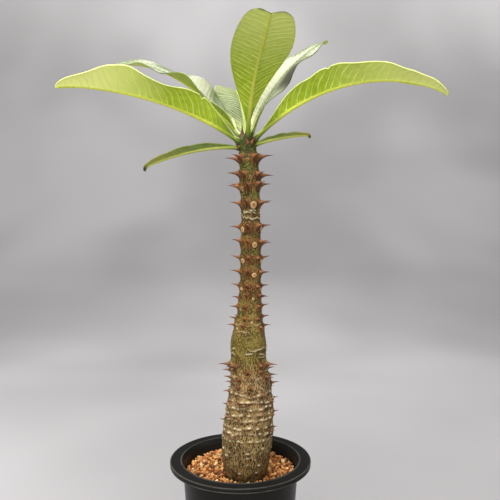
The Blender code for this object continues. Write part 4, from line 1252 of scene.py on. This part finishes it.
def leaf_piece(name, leaf, materials):
    """The blade of one leaf with its stalk, and the numbers that its two materials read."""
    small = leaf["length"] < SMALL_LEAF
    rows, half_columns = (SMALL_ROWS, SMALL_COLUMNS) if small else (LEAF_ROWS, LEAF_COLUMNS)
    along = np.concatenate([np.linspace(-ROOTED / leaf["length"], 0, 4)[:-1],
                            crowded(np.linspace(0, 1, rows + 1), 0.2)])
    outer = crowded(np.linspace(0, 1, half_columns + 1), 0.35)
    across = np.concatenate([-outer[:0:-1], outer])
    ripples = [(leaf["ripple"] * ripple_dice.uniform(0.7, 1.3), ripple_dice.uniform(*RIPPLES_PER_LEAF),
                ripple_dice.random()) for _ in range(2)]
    grids = blade(leaf, along, across, ripples)
    tip = grids[0][-1, half_columns]
    points, across_mm, count, from_margin = [grid[:-1] for grid in grids]
    along = along[:-1]
    normal = np.cross(np.gradient(points, axis=0), np.gradient(points, axis=1))
    normal /= np.maximum(np.linalg.norm(normal, axis=2), 1e-9)[..., None]
    high, low, rib_place = thickness(leaf, along, across_mm, count, from_margin)
    shift = normal[-1, half_columns] * BLADE_HALF
    vertices = np.concatenate([(points + normal * high[..., None]).reshape(-1, 3),
                               (points - normal * low[..., None]).reshape(-1, 3),
                               [tip + shift, tip - shift]])
    top_faces, low_faces, rim = skin_faces(*high.shape)
    rim_slot = 0 if leaf["edge"] < DARK_EDGE else 1
    slots = [0] * len(top_faces) + [1] * len(low_faces) + [rim_slot] * len(rim)
    piece = new_piece(name, vertices, top_faces + low_faces + rim, materials, slots)
    face_outward(piece)
    everywhere = np.ones(high.shape)
    place = np.clip(along, 0, 1)[:, None] * everywhere
    fades, edge, veined = [leaf[key] * everywhere for key in ("fades", "edge", "veined")]
    painted_shade_spot = shade_spot_grid(leaf, along, across)
    for layer, values, at_tip in (
            ("blade", (count, from_margin, place), (float(count[-1].mean()), 0.0, 1.0)),
            ("rib", (rib_place, fades, edge), (2.0, leaf["fades"], leaf["edge"])),
            ("skin", (painted_shade_spot, veined, 0 * place), (0.0, leaf["veined"], 0.0))):
        above = np.stack(values, -1).reshape(-1, 3)
        beneath = above * (0, 1, 1) if layer == "skin" else above
        paint(piece, layer, np.concatenate([above, beneath, [at_tip] * 2]))
    return piece


# %% [markdown]
# A leaf's two faces are two materials. Above, a waxy skin over dark green cells: it mirrors the
# soft light overhead, which is why it looks almost white at a low angle, and it lets a little light
# scatter under it. Below, a matt skin over loose, airy cells: paler and yellower, with raised veins
# that show lighter still. The pale line along a margin is painted highlight, for the light that
# comes through the thin rim. The thickness of the wax differs from leaf to leaf, and on one of them
# a spot is painted near black and made dull: painted shade where its margin curls down.


# %% Vein lines from the count of veins
def vein_lines(add, count, from_margin, width):
    """Mask that is 1 on a side vein, falls to 0 beside it, and fades out just short of the margin."""
    fraction = add("Math", {"operation": "FRACT"}, {0: count})
    centred = add("Math", {"operation": "SUBTRACT", 1: 0.5}, {0: fraction})
    away = add("Math", {"operation": "ABSOLUTE"}, {0: centred})
    line = add("MapRange", {**SOFTLY, 1: 0.5 - width, 2: 0.5 - 0.1 * width}, {0: away})
    fade = add("MapRange", {1: 0.3, 2: 3.0}, {0: from_margin})
    return add("Math", TIMES, {0: line, 1: fade})


# %% The leaf materials
VEIN_HALF = 0.14  # of the space between two veins


def leaf_material(name, colours, roughness, wax, scatter, vein_share, groove, dried=0.0, painted_shade_spot=False):
    """One face of a leaf. wax is its specular level, and a groove below 0 mm sinks the veins."""
    material, add, finish = new_material(
        name, IOR=1.46, Specular_IOR_Level=wax, Specular_Tint=linear("#FFF2D6"), Roughness=roughness,
        Subsurface_Weight=scatter, Subsurface_Radius=(0.9, 1.0, 0.3), Subsurface_Scale=0.9 * MM)
    count, from_margin, place = painted(add, "blade")
    rib_place, fades, edge = painted(add, "rib")
    painted_shade_share, veined, _ = painted(add, "skin")
    flesh = add("TexNoise", {"Scale": cells(4.348), "Detail": 3, "Roughness": 0.55}, {0: add("NewGeometry")})
    mottle = add("MapRange", {1: 0.36, 2: 0.64}, {0: flesh})
    green = add("Mix", {**MIXED, 6: colours["dark"], 7: colours["flesh"]}, {0: mottle})
    outer = add("Math", TIMES, {0: add("MapRange", {1: 0.42, 2: 0.92}, {0: place}), 1: fades})
    lines = vein_lines(add, count, from_margin, VEIN_HALF)
    shown = add("Math", TIMES, {0: lines, 1: add("Math", {**TIMES, 1: vein_share}, {0: veined})})
    near_rib = add("MapRange", {**SOFTLY, 1: 0.8, 2: 1.15, 3: 1.0, 4: 0.0}, {0: rib_place})
    stalk = add("ValToRGB", {"stops": [(0.0, colours["root"] + "F8"), (0.03, colours["stalk"] + "F0"),
                                       (0.08, colours["stalk"] + "B0"), (0.2, colours["stalk"] + "00")]},
                {0: place})
    # Painted highlight: the margin is painted pale, for the light that comes through the thin rim
    near_edge = add("MapRange", {**SOFTLY, 1: 0.25, 2: 0.9, 3: 1.0, 4: 0.0}, {0: from_margin})
    margin_painted_highlight = add("Math", TIMES, {0: near_edge, 1: edge})
    withered = add("MapRange", {1: 0.93, 2: 0.975, 4: dried}, {0: place})
    layers = [(outer, colours["tip"]), (shown, colours["vein"]), (near_rib, colours["rib"]),
              (stalk.outputs["Alpha"], stalk), (margin_painted_highlight, colours["margin"]), (withered, "#2C2A16")]
    # Painted shade: the spot is painted near black and made dull, where the margin curls down
    if painted_shade_spot:
        layers.append((painted_shade_share, "#181C10"))
        finish({"Roughness": add("MapRange", {3: roughness, 4: 1.0}, {0: painted_shade_share})})
    height = add("Math", {"operation": "MULTIPLY_ADD", 1: 0.12}, {0: flesh, 2: lines})
    finish({"Base Color": layered(add, green, layers),
            "Normal": add("Bump", {"Strength": 0.6, "Distance": abs(groove) * MM, "invert": groove < 0},
                          {"Height": height})})
    return material


# %% The leaves' colours and their seven materials
# Each margin colour is the painted highlight along that face's edge
UPPER = dict(flesh="#4A5C26", dark="#3A4A1E", tip="#56662E", vein="#42541F", rib="#4E5E28",
             margin="#8A9850", stalk="#A4AC68", root="#5A6A2A")
QUILTED = dict(flesh="#5A663C", dark="#48542E", tip="#808A52", vein="#9CA47C", rib="#909A58",
               margin="#C8CC98", stalk="#A4AC68", root="#5A6A2A")
LOWER = dict(flesh="#A8BE2E", dark="#94AC22", tip="#E4EA88", vein="#DCF08A", rib="#C8CE50",
             margin="#E6E8A0", stalk="#5C7420", root="#37441A")
OLD_UPPER = dict(flesh="#66742E", dark="#525F26", tip="#8A8840", vein="#7E8A40", rib="#A8AC50",
                 margin="#9CA450", stalk="#5A6C24", root="#3A481A")
OLD_LOWER = dict(flesh="#728640", dark="#607434", tip="#94943E", vein="#8E9E4A", rib="#B0B452",
                 margin="#8E9A48", stalk="#72862C", root="#3A481A")
waxy_top = leaf_material("waxy_leaf_top", UPPER, 0.34, 0.9, 0.08, 0.3, -0.1)
shade_spotted_top = leaf_material("waxy_leaf_top_with_painted_shade", UPPER, 0.34, 1.0, 0.08, 0.3, -0.1, painted_shade_spot=True)
thin_waxed_top = leaf_material("thinly_waxed_leaf_top", UPPER, 0.34, 0.76, 0.08, 0.3, -0.1)
quilted_top = leaf_material("quilted_leaf_top", QUILTED, 0.6, 0.3, 0.15, 0.8, -0.4)
matt_underside = leaf_material("matt_leaf_underside", LOWER, 0.55, 0.22, 0.0, 0.85, 0.5)
old_top = leaf_material("ageing_leaf_top", OLD_UPPER, 0.42, 0.5, 0.1, 0.35, -0.2, dried=0.95)
old_underside = leaf_material("ageing_leaf_underside", OLD_LOWER, 0.55, 0.5, 0.0, 0.4, 0.2, dried=0.95)

# %% Make the eight leaves
OWN_TOPS = {"leaf_back": quilted_top, "leaf_back_left": thin_waxed_top, "leaf_back_right": shade_spotted_top}
for name, leaf in LEAVES.items():
    small = leaf["length"] < SMALL_LEAF
    coats = [old_top, old_underside] if small else [OWN_TOPS.get(name, waxy_top), matt_underside]
    dress(leaf_piece(name + "_blade", {**USUAL, **leaf}, coats), "leaf_green", name)
